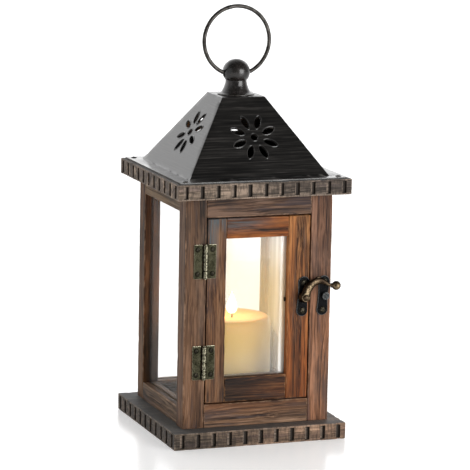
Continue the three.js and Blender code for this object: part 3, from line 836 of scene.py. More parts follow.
def notched_plate(node_name, material, seed):
    """A plate with a row of notches cut across each edge, rough from the saw."""
    low, high = corners(node_name)
    radius, step = 0.8 * MM, 4 * MM
    stop, slant = 1.5 * MM, 0.2 * MM
    centres = [notch_places(low[a], high[a]) for a in (X, Y)]
    both_sides = np.array([-slant, slant])
    rims_at = np.concatenate([both_sides - NOTCH_HALF_WIDTH, both_sides + NOTCH_HALF_WIDTH])
    steps = [(centre[:, None] + rims_at).ravel() for centre in centres]
    steps.append(np.concatenate([low[Z] + stop + both_sides, high[Z] - stop + both_sides]))
    lines = [cut_lines(low[a], high[a], radius, step, steps[a]) for a in range(3)]
    flat_points, faces = lattice(lines)
    points, facing = rounded(flat_points, low, high, radius)
    closeness = edge_closeness(points, low, high, 2.6 * MM)
    points = dent(points, facing, closeness, seed, 0.22 * MM, 0.7 * MM)

    in_height = (flat_points[:, Z] > low[Z] + stop) & (flat_points[:, Z] < high[Z] - stop)
    for face_axis, along in ((Y, X), (X, Y)):
        away = np.abs(flat_points[:, along][:, None] - centres[along]).min(axis=1)
        for face, inward in ((low[face_axis], 1), (high[face_axis], -1)):
            on_face = np.abs(flat_points[:, face_axis] - face) < 1e-6
            points[on_face & in_height & (away < NOTCH_HALF_WIDTH), face_axis] = face + inward * NOTCH_DEPTH
    piece = new_object(node_name + "_board", points, faces)
    carve(piece, *grooves_in(low, high))
    if node_name == "top_plate":
        vent = drill("vent", 40 * MM, 3 * (high[Z] - low[Z]), 72)
        carve(piece, move(vent, Matrix.Translation((0, 0, (low[Z] + high[Z]) / 2))))
    plate_marks(piece, node_name, low, high, seed)
    return settle(piece, "frame", "plate_wood", material, node_name)


def plate_marks(piece, node_name, low, high, seed):
    """Bare wood on the floor of each notch, painted shade on the half of each floor beyond its middle and down
    its walls, and rubbed rims.
    """
    points = coordinates(piece)
    bare_and_shade, rim = np.zeros((2, len(points)))
    for face_axis, along in ((Y, X), (X, Y)):
        centres = notch_places(low[along], high[along])
        offsets = points[:, along][:, None] - centres
        away = np.abs(offsets).min(axis=1)
        beyond_middle = np.take_along_axis(offsets, np.abs(offsets).argmin(axis=1)[:, None], 1)[:, 0] > 0
        for side in (low, high):
            sunk_by = np.abs(points[:, face_axis] - side[face_axis])
            on_floor = (np.abs(sunk_by - NOTCH_DEPTH) < 0.1 * MM) & (away < NOTCH_HALF_WIDTH)
            # The half of each notch floor beyond its middle is marked 0.84, which the plate wood turns into
            # painted shade; the rest stays bare.
            bare_and_shade[on_floor] = np.where(beyond_middle[on_floor], 0.84, 1)
            rim[(sunk_by < 0.5 * MM) & (away < NOTCH_HALF_WIDTH + 0.5 * MM)] = 0.7
    store(piece, "bare_and_shade", bare_and_shade)
    board_marks(piece, low, high, X, seed, node_name, rim)


def add_woodwork(woods):
    frame_wood, plate_wood, door_wood = woods
    for seed, name in enumerate(("base_plate", "top_plate")):
        notched_plate(name, plate_wood, 11 + seed)
    posts = [f"post_{depth}_{side}" for depth in ("front", "back") for side in ("left", "right")]
    for seed, name in enumerate(posts):
        board(name, "frame", "frame_wood", frame_wood, Z, 20 + seed)
    for seed, wall in enumerate(("front", "back", "left", "right")):
        axis = X if wall in ("front", "back") else Y
        for level, name in enumerate(("top_rail", "bottom_rail")):
            board(f"{wall}_{name}", "frame", "frame_wood", frame_wood, axis, 40 + 2 * seed + level)
    board("door_stop", "frame", "frame_wood", frame_wood, Z, 60, 0.5 * MM)
    for seed, name in enumerate(("door_hinge_stile", "door_latch_stile")):
        board(name, "door", "door_wood", door_wood, Z, 70 + seed)
    for seed, name in enumerate(("door_top_rail", "door_bottom_rail")):
        board(name, "door", "door_wood", door_wood, X, 80 + seed)


def add_panes():
    wall_glass = glass_material("window_glass", 0.05)
    panes = [(f"{wall}_glass", "frame", wall_glass) for wall in ("left", "right", "back")]
    for name, body, glass in (*panes, ("door_glass", "door", door_glass_material())):
        settle(block_piece(name + "_pane", *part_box(name)), body, "glass", glass, name)


# ---------------------------------------------------------------- roof

PETAL_COUNT = 8
PETAL_LENGTH = 13 * MM
PETAL_WIDTH = 5.7 * MM
PETAL_REACH = 15.4 * MM
EYE_RADIUS = 3.2 * MM
FRONT_FLOWER_SHIFT = 2 * MM
ROOF_SCREWS = [f"roof_screw_{i + 1}" for i in range(4)]


def petal(grow=0.0, sides=28):
    """An almond outline, counter-clockwise around the origin, its length along X."""
    angles = np.arange(sides) * FULL_TURN / sides
    pointed = np.sign(np.sin(angles)) * np.abs(np.sin(angles)) ** 1.25
    return np.stack([(PETAL_LENGTH / 2 + grow) * np.cos(angles), (PETAL_WIDTH / 2 + grow) * pointed], -1)


def turned_loop(loop, angle, centre):
    turn = np.array([[math.cos(angle), math.sin(angle)], [-math.sin(angle), math.cos(angle)]])
    return loop @ turn + np.asarray(centre)


def flower(centre, grow=0.0):
    """The eye and the petals of one flower, as loops."""
    loops = [circle(centre, EYE_RADIUS + grow, 20)]
    for i in range(PETAL_COUNT):
        angle = (i + 0.5) * FULL_TURN / PETAL_COUNT + math.pi / 2
        reach = np.array([math.cos(angle), math.sin(angle)]) * PETAL_REACH
        loops.append(turned_loop(petal(grow), angle, np.asarray(centre) + reach))
    return loops


def evenly(start, end, count):
    """Points from start towards end, leaving out end."""
    start, end = np.asarray(start, float), np.asarray(end, float)
    return start + (end - start) * (np.arange(count) / count)[:, None]


def grid_points(low, high, step, keep):
    xs = np.arange(low[0] + step / 2, high[0], step)
    ys = np.arange(low[1] + step / 2, high[1], step)
    return [(x, y) for x in xs for y in ys if keep(x, y)]


def roof_measures():
    """Half widths and heights of the roof's outer skin, and of the inner one a sheet's thickness below it."""
    low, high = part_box("roof_shell")
    sheet = 1.2 * MM
    foot, cap = high.x - 12 * MM, 20 * MM
    flange_top = low.z + sheet
    tilt = math.atan2(high.z - flange_top, foot - cap)

    def inner_half(height):
        return foot - sheet / math.sin(tilt) - (height - flange_top) / math.tan(tilt)

    return {
        "edge": high.x, "tilt": tilt,
        "foot": foot, "foot_height": flange_top,
        "cap": cap, "cap_height": high.z,
        "inner_foot": inner_half(low.z), "inner_foot_height": low.z,
        "inner_cap": inner_half(high.z - sheet), "inner_cap_height": high.z - sheet,
    }


class Sheet:
    """Patches of a bent sheet. Each has an outer skin, an inner skin and walls around its holes."""

    def __init__(self):
        self.points, self.faces, self.worn, self.fold = [], [], [], []

    def add(self, outer, inner, triangles, walls, worn, fold):
        """walls holds runs of point numbers that go anticlockwise around a hole."""
        start = len(self.points)
        count = len(outer)
        self.points.extend([*outer, *inner])
        self.worn.extend([*worn, *worn])
        self.fold.extend([*fold, *np.zeros(count)])
        for a, b, c in triangles:
            self.faces.append((start + a, start + b, start + c))
            self.faces.append((start + count + c, start + count + b, start + count + a))
        for run in walls:
            for a, b in zip(run, [*run[1:], run[0]]):
                self.faces.append((start + a, start + b, start + count + b, start + count + a))


def runs(start, loops):
    """The point numbers of loops that follow each other from start."""
    found = []
    for loop in loops:
        found.append(list(range(start, start + len(loop))))
        start += len(loop)
    return found


def add_slope(sheet, roof, side, flower_shift):
    """One slope, with a flower whose holes have lips that stand proud."""
    foot, cap, tilt = roof["foot"], roof["cap"], roof["tilt"]
    length = math.hypot(foot - cap, roof["cap_height"] - roof["foot_height"])
    middle = (flower_shift, length / 2)
    outline = np.concatenate([
        evenly((-foot, 0), (foot, 0), 20), evenly((foot, 0), (cap, length), 14),
        evenly((cap, length), (-cap, length), 8), evenly((-cap, length), (-foot, 0), 14),
    ])
    holes, lips, skirts = flower(middle), flower(middle, 0.45 * MM), flower(middle, 1.1 * MM)

    def clear(x, y):
        half = foot + (cap - foot) * y / length
        return abs(x) < half - 3 * MM and math.hypot(x - middle[0], y - middle[1]) > 25 * MM

    extra = np.array(grid_points((-foot, 0), (foot, length), 6 * MM, clear))
    triangles = fill(outline, holes, extra, [*lips, *skirts])
    flat = np.concatenate([outline, *holes, *lips, *skirts, extra])
    hole_runs, lip_runs = runs(len(outline), holes), runs(len(outline) + sum(map(len, holes)), lips)
    height, worn, fold = np.zeros((3, len(flat)))
    height[np.concatenate(hole_runs)] = 0.25 * MM
    height[np.concatenate(lip_runs)] = 0.38 * MM
    worn[np.concatenate(hole_runs + lip_runs)] = 0.5
    fold[:len(outline)] = 1

    along = flat[:, 1] / length
    turn = Matrix.Rotation(side * math.pi / 2, 4, "Z")
    skins = []
    for kind in ("", "inner_"):
        half = np.interp(along, [0, 1], [roof[kind + "foot"], roof[kind + "cap"]])
        level = np.interp(along, [0, 1], [roof[kind + "foot_height"], roof[kind + "cap_height"]])
        across = flat[:, 0] / np.interp(along, [0, 1], [foot, cap]) * half
        skin = np.stack([across, -half, level], -1)
        skin += height[:, None] * np.array([0, -math.sin(tilt), math.cos(tilt)])
        skins.append(transformed(skin, turn))
    sheet.add(*skins, triangles, hole_runs, worn, fold)


def square_loop(half, count):
    corners = [(-half, -half), (half, -half), (half, half), (-half, half)]
    return np.concatenate([evenly(a, b, count) for a, b in zip(corners, corners[1:] + corners[:1])])


def with_height(flat, height):
    return np.hstack([flat, np.full((len(flat), 1), height)])


def add_flange(sheet, roof):
    """The level rim around the foot of the slopes, with a hole near each corner."""
    screws = [middle(name) for name in ROOF_SCREWS]
    holes = [circle((at.x, at.y), 1.6 * MM, 14) for at in screws]
    edge = square_loop(roof["edge"], 24)
    skins = []
    for kind in ("", "inner_"):
        foot = square_loop(roof[kind + "foot"], 20)
        flat = np.concatenate([edge, foot, *holes])
        skins.append(with_height(flat, roof[kind + "foot_height"]))
    triangles = fill(edge, [square_loop(roof["foot"], 20), *holes])
    walls = [list(range(len(edge)))[::-1], *runs(len(edge) + len(foot), holes)]
    # The flange's high wear gives it a thicker coat and a paler lacquer; the paler lacquer is a painted
    # reflection.
    sheet.add(*skins, triangles, walls, np.full(len(flat), 0.65), np.zeros(len(flat)))


def add_cap(sheet, roof):
    """The small flat at the top, with the hole for the finial's stud."""
    stud = circle((0, 0), 3.3 * MM, 24)
    skins = []
    for kind in ("", "inner_"):
        rim = square_loop(roof[kind + "cap"], 8)
        skins.append(with_height(np.concatenate([rim, stud]), roof[kind + "cap_height"]))
    triangles = fill(square_loop(roof["cap"], 8), [stud])
    blank = np.zeros(len(skins[0]))
    sheet.add(*skins, triangles, runs(len(rim), [stud]), blank, blank)


def add_roof(material, screw_metal):
    roof = roof_measures()
    sheet = Sheet()
    for side in range(4):
        add_slope(sheet, roof, side, 0 if side else FRONT_FLOWER_SHIFT)
    add_flange(sheet, roof)
    add_cap(sheet, roof)
    piece = new_object("roof_sheet", sheet.points, sheet.faces)
    store(piece, "wear", sheet.worn)
    store(piece, "fold", sheet.fold)
    shape = bmesh.new()
    shape.from_mesh(piece.data)
    bmesh.ops.remove_doubles(shape, verts=shape.verts, dist=0.01 * MM)
    mark = shape.verts.layers.float["fold"]
    bent = [edge for edge in shape.edges if edge.calc_face_angle(0) > 0.5]
    folds = [edge for edge in bent if all(vertex[mark] > 0.5 for vertex in edge.verts)]
    bmesh.ops.bevel(shape, geom=folds, offset=0.9 * MM, segments=3, affect="EDGES", profile=0.5)
    shape.to_mesh(piece.data)
    shape.free()
    points = coordinates(piece)
    dents = np.abs(ripples(points, 34 * MM, 5)) * 0.10 * MM
    points[:, Z] -= dents * (points[:, Z] > roof["foot_height"] + 2 * MM)
    set_coordinates(piece, points)
    settle(piece, "frame", "roof_sheet", material, "roof_shell", sharp=math.radians(30))
    head, rise, shank = 2.6 * MM, 0.9 * MM, 8 * MM
    for name in ROOF_SCREWS:
        add_screw(name, "frame", "cast_black", screw_metal, head, rise, shank, upright=True)


# ---------------------------------------------------------------- screws

def threads(radius, length):
    """The profile of a screw's shank, from its tip at -length up to its head at 0."""
    pitch, depth, tip = 1.1 * MM, 0.25 * MM, 0.6 * MM
    profile = [(0, -length), (0.35 * radius, -length)]
    for i in range(int(length / pitch)):
        foot = -length + tip + i * pitch
        if foot < -0.8 * MM:
            profile += [(radius, foot), (radius + depth, foot + 0.35 * MM), (radius, foot + 0.7 * MM)]
    return [*profile, (radius, 0)]


def dome(radius, low, high, angles):
    """The profile of a domed head between two heights, for angles from its edge to its middle."""
    return [(radius * math.cos(angle), low + (high - low) * math.sin(angle)) for angle in angles]


def add_screw(node_name, body, slot, material, head, rise, shank, polish=1.0, upright=False):
    """A cross-head screw: a domed head with a recess, and a threaded shank."""
    low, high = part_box(node_name)
    at = middle(node_name)
    edge = 0.12 * MM
    profile = [*threads(1.0 * MM, shank), (head * 0.96, 0), (head, edge)]
    profile += dome(head, edge, rise, np.linspace(0, math.pi / 2, 8)[1:-1])
    screw = lathe(node_name + "_head", [*profile, (0, rise)], 28)
    arm, slit = head * 0.62, head * 0.15
    for wide, tall in ((arm, slit), (slit, arm)):
        carve(screw, block_piece("recess", (-wide, -tall, rise * 0.25), (wide, tall, 2 * rise), 0.05 * MM))
    seed = sum(ord(letter) for letter in node_name)
    spin = Matrix.Rotation(np.random.default_rng(seed).uniform(0, math.pi / 2), 4, "Z")
    if upright:
        move(screw, Matrix.Translation((at.x, at.y, high.z - rise)) @ spin)
    else:
        move(screw, Matrix.Translation((at.x, low.y + rise, at.z)) @ FACE_FRONT @ spin)
    store(screw, "wear", polish * rims(screw))
    return settle(screw, body, slot, material, node_name)


# ---------------------------------------------------------------- finial and ring

def add_finial(material, nut_metal):
    """A turned knob: a thin foot, a neck and a slightly flattened ball that the ring goes through."""
    low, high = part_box("finial")
    roof_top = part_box("roof_shell")[1].z
    foot_radius = (high.x - low.x) / 2
    ball_radius, ball_half_height, ball_height = 12.2 * MM, 11.4 * MM, 20 * MM
    hole_radius, hole_height = 3.2 * MM, 18.2 * MM
    stud_radius, stud_end, stud_ease = 3 * MM, low.z - roof_top, 0.5 * MM
    neck_angle = math.radians(50)

    def ball_point(angle):
        return ball_radius * math.sin(angle), ball_height - ball_half_height * math.cos(angle)

    profile = [(0, stud_end), (stud_radius - stud_ease, stud_end)]
    profile += [(stud_radius, stud_end + stud_ease), (stud_radius, 0)]
    foot = [(-0.3, 0), (0, 0.3), (0, 0.8), (-0.5, 1.15)]
    profile += [(foot_radius + inward * MM, height * MM) for inward, height in foot]
    profile += [(14.6 * MM, 1.4 * MM), (13.0 * MM, 2.1 * MM), (12.5 * MM, 2.7 * MM)]
    low_neck, bend, high_neck = np.array(((12.3 * MM, 3.4 * MM), (9.6 * MM, 8.2 * MM), ball_point(neck_angle)))
    for share in np.linspace(0, 1, 12):
        profile.append((1 - share) ** 2 * low_neck + 2 * share * (1 - share) * bend + share ** 2 * high_neck)
    profile += [ball_point(angle) for angle in np.linspace(neck_angle + 0.05, math.pi, 26)[:-1]]
    finial = lathe("finial_knob", [*profile, (0, high.z - roof_top)], 72)
    hole = drill("ring_hole", hole_radius, 5 * ball_radius, 32)
    carve(finial, move(hole, Matrix.Translation((0, 0, hole_height)) @ Matrix.Rotation(math.pi / 2, 4, "Y")))
    points = coordinates(finial)
    away = points * (1, 1, 0)
    swell = ripples(points, 9 * MM, 31) * 0.07 * MM
    away /= np.maximum(np.linalg.norm(away, axis=1, keepdims=True), 1e-6)
    set_coordinates(finial, points - away * np.abs(swell)[:, None])
    move(finial, Matrix.Translation((0, 0, roof_top)))
    store(finial, "wear", rims(finial) * 0.6)
    settle(finial, "frame", "cast_black", material, "finial")

    nut_low, nut_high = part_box("finial_nut")
    corner_radius, ease, tall = 6 * MM, 0.4 * MM, nut_high.z - nut_low.z
    hexagon = circle((0, 0), corner_radius, 6)
    smaller = inset(hexagon, 0.5 * MM)
    bore = circle((0, 0), 3.3 * MM, 24)
    levels = [(smaller, 0), (hexagon, ease), (hexagon, tall - ease), (smaller, tall)]
    nut = slab("finial_hex_nut", levels, [[(bore, 0), (bore, tall)]])
    move(nut, Matrix.Translation((0, 0, nut_low.z)))
    store(nut, "wear", rims(nut))
    settle(nut, "frame", "screw_steel", nut_metal, "finial_nut")


def add_ring(material):
    """A bent wire ring whose two ends meet in a small weld, just left of the top."""
    low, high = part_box("ring_handle")
    centre = middle("ring_handle")
    wire = (high.y - low.y) / 2
    radius = (high.x - low.x) / 2 - wire
    steps, sides = 180, 18
    angles = np.arange(steps) * FULL_TURN / steps
    path = np.array(centre) + radius * np.stack([np.sin(angles), 0 * angles, np.cos(angles)], -1)
    weld_angle = math.radians(-14)
    off_weld = ((angles - weld_angle + math.pi) % FULL_TURN - math.pi) * radius
    bead = np.exp(-(off_weld / (1.5 * MM)) ** 2)
    crease = np.exp(-(off_weld / (0.45 * MM)) ** 2)
    thick = wire * 0.985 + bead * 0.3 * MM - crease * 0.35 * MM
    ring = tube("ring_wire", path, np.stack([thick, thick], -1), sides, ends=False)
    points = coordinates(ring)
    centres = np.repeat(path, sides, axis=0)
    wobble = 1 - np.abs(ripples(points, 4 * MM, 77)) * 0.03
    set_coordinates(ring, centres + (points - centres) * wobble[:, None])
    store(ring, "wear", np.repeat(bead, sides) * 0.5)
    settle(ring, "ring", "ring_steel", material, "ring_handle")


# ---------------------------------------------------------------- hinges

def rounded_rectangle(low, high, radius, steps=5):
    """Counter-clockwise outline of a rectangle with round corners."""
    (x0, y0), (x1, y1) = low, high
    loop = []
    for x, y, start in ((x1, y0, -90), (x1, y1, 0), (x0, y1, 90), (x0, y0, 180)):
        cx = x - math.copysign(radius, x - (x0 + x1) / 2)
        cy = y - math.copysign(radius, y - (y0 + y1) / 2)
        for i in range(steps + 1):
            angle = math.radians(start + 90 * i / steps)
            loop.append((cx + radius * math.cos(angle), cy + radius * math.sin(angle)))
    return np.array(loop)


def eased(loop, thickness, ease):
    """The levels of a slab whose front edge is rounded off."""
    return [
        (inset(loop, 0.3 * ease), 0),
        (loop, 0.3 * ease),
        (loop, thickness - ease),
        (inset(loop, 0.3 * ease), thickness - 0.3 * ease),
        (inset(loop, ease), thickness),
        (inset(loop, ease + 0.3 * MM), thickness),
    ]


def countersink(centre, bore, mouth, thickness, depth, sides=24):
    """The levels of a screw hole that widens at the front."""
    return [
        (circle(centre, bore, sides), 0),
        (circle(centre, bore, sides), thickness - depth),
        (circle(centre, mouth * 0.96, sides), thickness - 0.12 * MM),
        (circle(centre, mouth, sides), thickness),
        (circle(centre, mouth + 0.3 * MM, sides), thickness),
    ]


HINGE_SHEET = 1.0 * MM
BARREL_RADIUS = 2.0 * MM
KNUCKLE_COUNT = 4


def add_hinge_leaf(level, body, side, axis, material):
    """A leaf cut from sheet, with every second knuckle of the barrel. side is -1 for the left leaf."""
    low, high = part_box(f"{level}_hinge_{body}_leaf")
    wood_y, z0, z1 = high.y, low.z, high.z
    outer = low.x if side < 0 else high.x
    x0, x1 = sorted((outer, axis.x + side * (BARREL_RADIUS + GAP)))
    screws = [middle(name) for name in hinge_screws(body)]
    screws = [at for at in screws if z0 < at.z < z1]
    holes = [countersink((at.x, at.z), 1.4 * MM, 2.3 * MM, HINGE_SHEET, 0.7 * MM) for at in screws]
    outline = rounded_rectangle((x0, z0), (x1, z1), 0.7 * MM)
    leaf = slab(f"{level}_{body}_leaf", eased(outline, HINGE_SHEET, 0.3 * MM), holes)
    # The slab is drawn in X and Z with its back at 0: turn it to the front and stand it on the wood.
    move(leaf, Matrix.Translation((0, wood_y, 0)) @ FACE_FRONT)
    pitch = (z1 - z0) / KNUCKLE_COUNT
    tall = pitch - GAP
    tab_x0, tab_x1 = sorted((axis.x, axis.x + side * (BARREL_RADIUS + 1.5 * MM)))
    tab_back, tab_front = wood_y - 0.02 * MM, wood_y - 0.98 * HINGE_SHEET
    for i in range(0 if side < 0 else 1, KNUCKLE_COUNT, 2):
        z = z0 + (i + 0.5) * pitch
        knuckle = rod("knuckle", BARREL_RADIUS, tall, 32, 0.5 * MM)
        tab_low, tab_high = (tab_x0, tab_front, z - tall / 2), (tab_x1, tab_back, z + tall / 2)
        tab = block_piece("tab", tab_low, tab_high, 0.15 * MM)
        unite(leaf, move(knuckle, Matrix.Translation((axis.x, axis.y, z))), tab)
    carve(leaf, move(drill("bore", 1.3 * MM, 2 * (z1 - z0)), Matrix.Translation(axis)))
    points = coordinates(leaf)
    worn = rims(leaf)
    for at in screws:
        worn[np.hypot(points[:, X] - at.x, points[:, Z] - at.z) < 3 * MM] = 0
    worn[np.hypot(points[:, X] - axis.x, points[:, Y] - axis.y) < 1.02 * BARREL_RADIUS] = 0.55
    store(leaf, "wear", worn)
    settle(leaf, body, "hinge_bronze", material, f"{level}_hinge_{body}_leaf")


def add_hinge(level, material):
    """Two leaves whose knuckles share a pin."""
    pin_name = f"{level}_hinge_pin"
    low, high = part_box(pin_name)
    axis = middle(pin_name)
    for side, body in ((-1, "frame"), (1, "door")):
        add_hinge_leaf(level, body, side, axis, material)
    pin = rod(f"{level}_pin", (high.x - low.x) / 2, high.z - low.z, 24, 0.4 * MM)
    move(pin, Matrix.Translation(axis))
    store(pin, "wear", rims(pin))
    settle(pin, "frame", "hinge_bronze", material, pin_name)


def hinge_screws(body):
    return [f"hinge_{body}_screw_{i + 1}" for i in range(4)]


def add_hinges(material, screw_metal):
    for level in ("upper", "lower"):
        add_hinge(level, material)
    for body in ("frame", "door"):
        for name in hinge_screws(body):
            add_screw(name, body, "screw_steel", screw_metal, 2.1 * MM, 0.8 * MM, 7 * MM, polish=0.1)


# ---------------------------------------------------------------- latch

LOBE_SPACING = 25 * MM
LOBE_RADIUS = 5.2 * MM
LATCH_TILT = math.radians(3)


def lobed_outline(waist=3.8 * MM):
    """Two round lobes joined by a slightly narrower waist, counter-clockwise."""
    steps = 20
    reach = LOBE_SPACING / 2
    points = []
    for sign in (1, -1):
        for i in range(steps + 1):
            angle = math.pi * i / steps
            points.append((sign * LOBE_RADIUS * math.cos(angle), sign * (reach + LOBE_RADIUS * math.sin(angle))))
        for share in np.linspace(0, 1, 12)[1:-1]:
            narrow = LOBE_RADIUS - (LOBE_RADIUS - waist) * 2 * share * (1 - share)
            points.append((-sign * narrow, sign * reach * (1 - 2 * share)))
    return np.array(points)


def lobed_plate(name, thickness, more_holes=()):
    bore, mouth, sink = 1.7 * MM, 3.0 * MM, 0.6 * MM
    places = [(0, sign * LOBE_SPACING / 2) for sign in (-1, 1)]
    holes = [countersink(place, bore, mouth, thickness, sink) for place in places]
    return slab(name, eased(lobed_outline(), thickness, 0.5 * MM), [*holes, *more_holes])


def stood_on(x, y, z, tilt=0.0):
    """Puts a piece drawn facing +Z on the front at that place, its top tilted towards the right."""
    return Matrix.Translation((x, y, z)) @ Matrix.Rotation(tilt, 4, "Y") @ FACE_FRONT


def add_latch(plate_metal, hook_metal, screw_metal):
    rivet_low, rivet_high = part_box("latch_rivet")
    pivot = Vector(((rivet_low.x + rivet_high.x) / 2, 0, (rivet_low.z + rivet_high.z) / 2))
    plate_low, plate_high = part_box("latch_plate")
    wood_y = plate_high.y
    thickness = plate_high.y - plate_low.y
    bore = circle((0, 0), 1.9 * MM, 20)
    plate = lobed_plate("latch_lobed_plate", thickness, [[(bore, 0), (bore, thickness)]])
    move(plate, stood_on(pivot.x, wood_y, pivot.z, LATCH_TILT))
    store(plate, "wear", rims(plate))
    settle(plate, "door", "latch_black", plate_metal, "latch_plate")

    keeper_low, keeper_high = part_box("keeper_plate")
    keeper_x = (keeper_low.x + keeper_high.x) / 2
    keeper = lobed_plate("keeper_lobed_plate", thickness)
    rise = wood_y - keeper_low.y
    profile = [(0, 0.3 * MM), (3.4 * MM, 0.3 * MM), (3.4 * MM, rise - 1.1 * MM), (3.1 * MM, rise - 0.5 * MM),
               (2.4 * MM, rise - 0.12 * MM), (1.2 * MM, rise), (0, rise)]
    stud = move(lathe("stud", profile, 32), Matrix.Translation((1.4 * MM, 0, 0)))
    unite(keeper, stud)
    move(keeper, stood_on(keeper_x, wood_y, pivot.z, LATCH_TILT))
    on_stud = coordinates(keeper)[:, Y] < keeper_low.y + 1.2 * MM
    store(keeper, "wear", np.maximum(rims(keeper), 0.55 * on_stud))
    settle(keeper, "frame", "latch_black", plate_metal, "keeper_plate")
    for name, body in (("latch", "door"), ("keeper", "frame")):
        for i in (1, 2):
            screw = f"{name}_screw_{i}"
            add_screw(screw, body, "screw_steel", screw_metal, 3.1 * MM, 1.5 * MM, 8 * MM, polish=0.7)
    add_hook(pivot, hook_metal)
    add_rivet(pivot, hook_metal)


def bezier(points, count):
    """Points along a chain of cubic Bezier arcs."""
    points = np.asarray(points, float)
    path = []
    for start in range(0, len(points) - 1, 3):
        a, b, c, d = points[start:start + 4]
        for share in np.linspace(0, 1, count)[(1 if start else 0):]:
            rest = 1 - share
            path.append(rest ** 3 * a + 3 * rest ** 2 * share * b + 3 * rest * share ** 2 * c + share ** 3 * d)
    return np.array(path)


def add_hook(pivot, material):
    """The swan-neck hook: a boss, an arch that thins to a neck, and a ball to hold it by."""
    low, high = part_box("latch_hook")
    back = high.y
    arm_depth = 4.0 * MM
    middle = -arm_depth
    swan_neck = [(0.4, 0), (0.6, 6.5), (6.0, 14.0), (13.6, 14.2), (18.6, 14.0), (19.5, 9.6), (28.0, 9.25)]
    centre_line = bezier(swan_neck, 22) * MM
    along = np.linspace(0, 1, len(centre_line))
    wide = np.interp(along, [0, 0.2, 0.45, 0.62, 0.8, 0.93, 1], [4.6, 4.0, 3.1, 2.6, 1.6, 1.25, 1.4]) * MM
    deep = np.interp(along, [0, 0.2, 0.45, 0.8, 1], [2.9, 2.5, 2.1, 1.45, 1.3]) * MM
    path = np.stack([centre_line[:, 0], np.full(len(centre_line), middle), centre_line[:, 1]], -1)
    arm = tube("latch_swan_hook", path, np.stack([wide, deep], -1), 20)
    tall = 6.5 * MM
    profile = [(0, 0), (4.8 * MM, 0), (5.2 * MM, 0.4 * MM), (5.2 * MM, 2.4 * MM), (4.9 * MM, 3.6 * MM),
               (4.3 * MM, 4.9 * MM), (3.8 * MM, tall - 0.4 * MM), (3.4 * MM, tall), (0, tall)]
    boss = move(lathe("boss", profile, 36), FACE_FRONT)
    ball_profile = [(4 * MM * math.sin(a), -4 * MM * math.cos(a)) for a in np.linspace(0, math.pi, 18)]
    ball = lathe("ball", ball_profile, 28)
    move(ball, Matrix.Translation((29.3 * MM, middle, 9.2 * MM)))
    collar_profile = [(0, -1.0 * MM), (1.9 * MM, -0.8 * MM), (2.2 * MM, 0), (1.9 * MM, 0.8 * MM), (0, 1.0 * MM)]
    collar = lathe("collar", collar_profile, 24)
    move(collar, Matrix.Translation((25.2 * MM, middle, 9.4 * MM)) @ Matrix.Rotation(math.pi / 2, 4, "Y"))
    ridge_path = bezier([(8.4, 15.0), (10.5, 17.6), (13.0, 18.2), (15.4, 16.4)], 9) * MM
    ridge_line = np.stack([ridge_path[:, 0], np.full(len(ridge_path), middle), ridge_path[:, 1]], -1)
    ridge_width = np.interp(np.linspace(0, 1, len(ridge_path)), [0, 0.5, 1], [0.5, 1.0, 0.5]) * MM
    ridge = tube("ridge", ridge_line, np.stack([ridge_width, ridge_width], -1), 12)
    unite(arm, boss, ball, collar, ridge)
    remesh = arm.modifiers.new("remesh", "REMESH")
    remesh.mode = "VOXEL"
    remesh.voxel_size = 0.28 * MM
    relax = arm.modifiers.new("relax", "SMOOTH")
    relax.iterations = 4
    apply_modifiers(arm)
    carve(arm, move(drill("bore", 1.9 * MM, 40 * MM), FACE_FRONT))
    move(arm, Matrix.Translation((pivot.x, back, pivot.z)))
    points = coordinates(arm)
    rubbed = smooth_step(-(points[:, Y] - back), 4.5 * MM, 6.8 * MM)
    store(arm, "wear", 0.6 * rubbed)
    settle(arm, "hook", "hook_brass", material, "latch_hook", sharp=math.radians(50))


def add_rivet(pivot, material):
    low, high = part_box("latch_rivet")
    length = high.y - low.y
    head, shank, head_tall = 2.8 * MM, 1.6 * MM, 1.6 * MM
    edge = -head_tall + 0.2 * MM
    profile = [(0, -length), (shank, -length), (shank, -head_tall), (head * 0.97, -head_tall), (head, edge)]
    profile += dome(head, edge, 0, np.linspace(0.15, 1.35, 7))
    profile.append((0, 0))
    rivet = lathe("latch_pivot_rivet", profile, 28)
    move(rivet, Matrix.Translation((pivot.x, low.y, pivot.z)) @ FACE_FRONT)
    store(rivet, "wear", np.full(len(rivet.data.vertices), 0.4))
    settle(rivet, "door", "hook_brass", material, "latch_rivet")


def add_glazing_pins(material):
    for i in (1, 2):
        low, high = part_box(f"glazing_pin_{i}")
        centre = (low + high) / 2
        length = high.z - low.z
        radius = (high.x - low.x) / 2
        profile = [(0, -length / 2), (radius * 0.7, -length / 2), (radius, -length / 2 + 0.2 * MM),
                   (radius, length / 2 - 0.2 * MM), (radius * 0.7, length / 2), (0, length / 2)]
        pin = lathe(f"glazing_pin_{i}_wire", profile, 18)
        move(pin, Matrix.Translation(centre))
        store(pin, "wear", 0.3 * rims(pin))
        settle(pin, "door", "screw_steel", material, f"glazing_pin_{i}")


# ---------------------------------------------------------------- candle

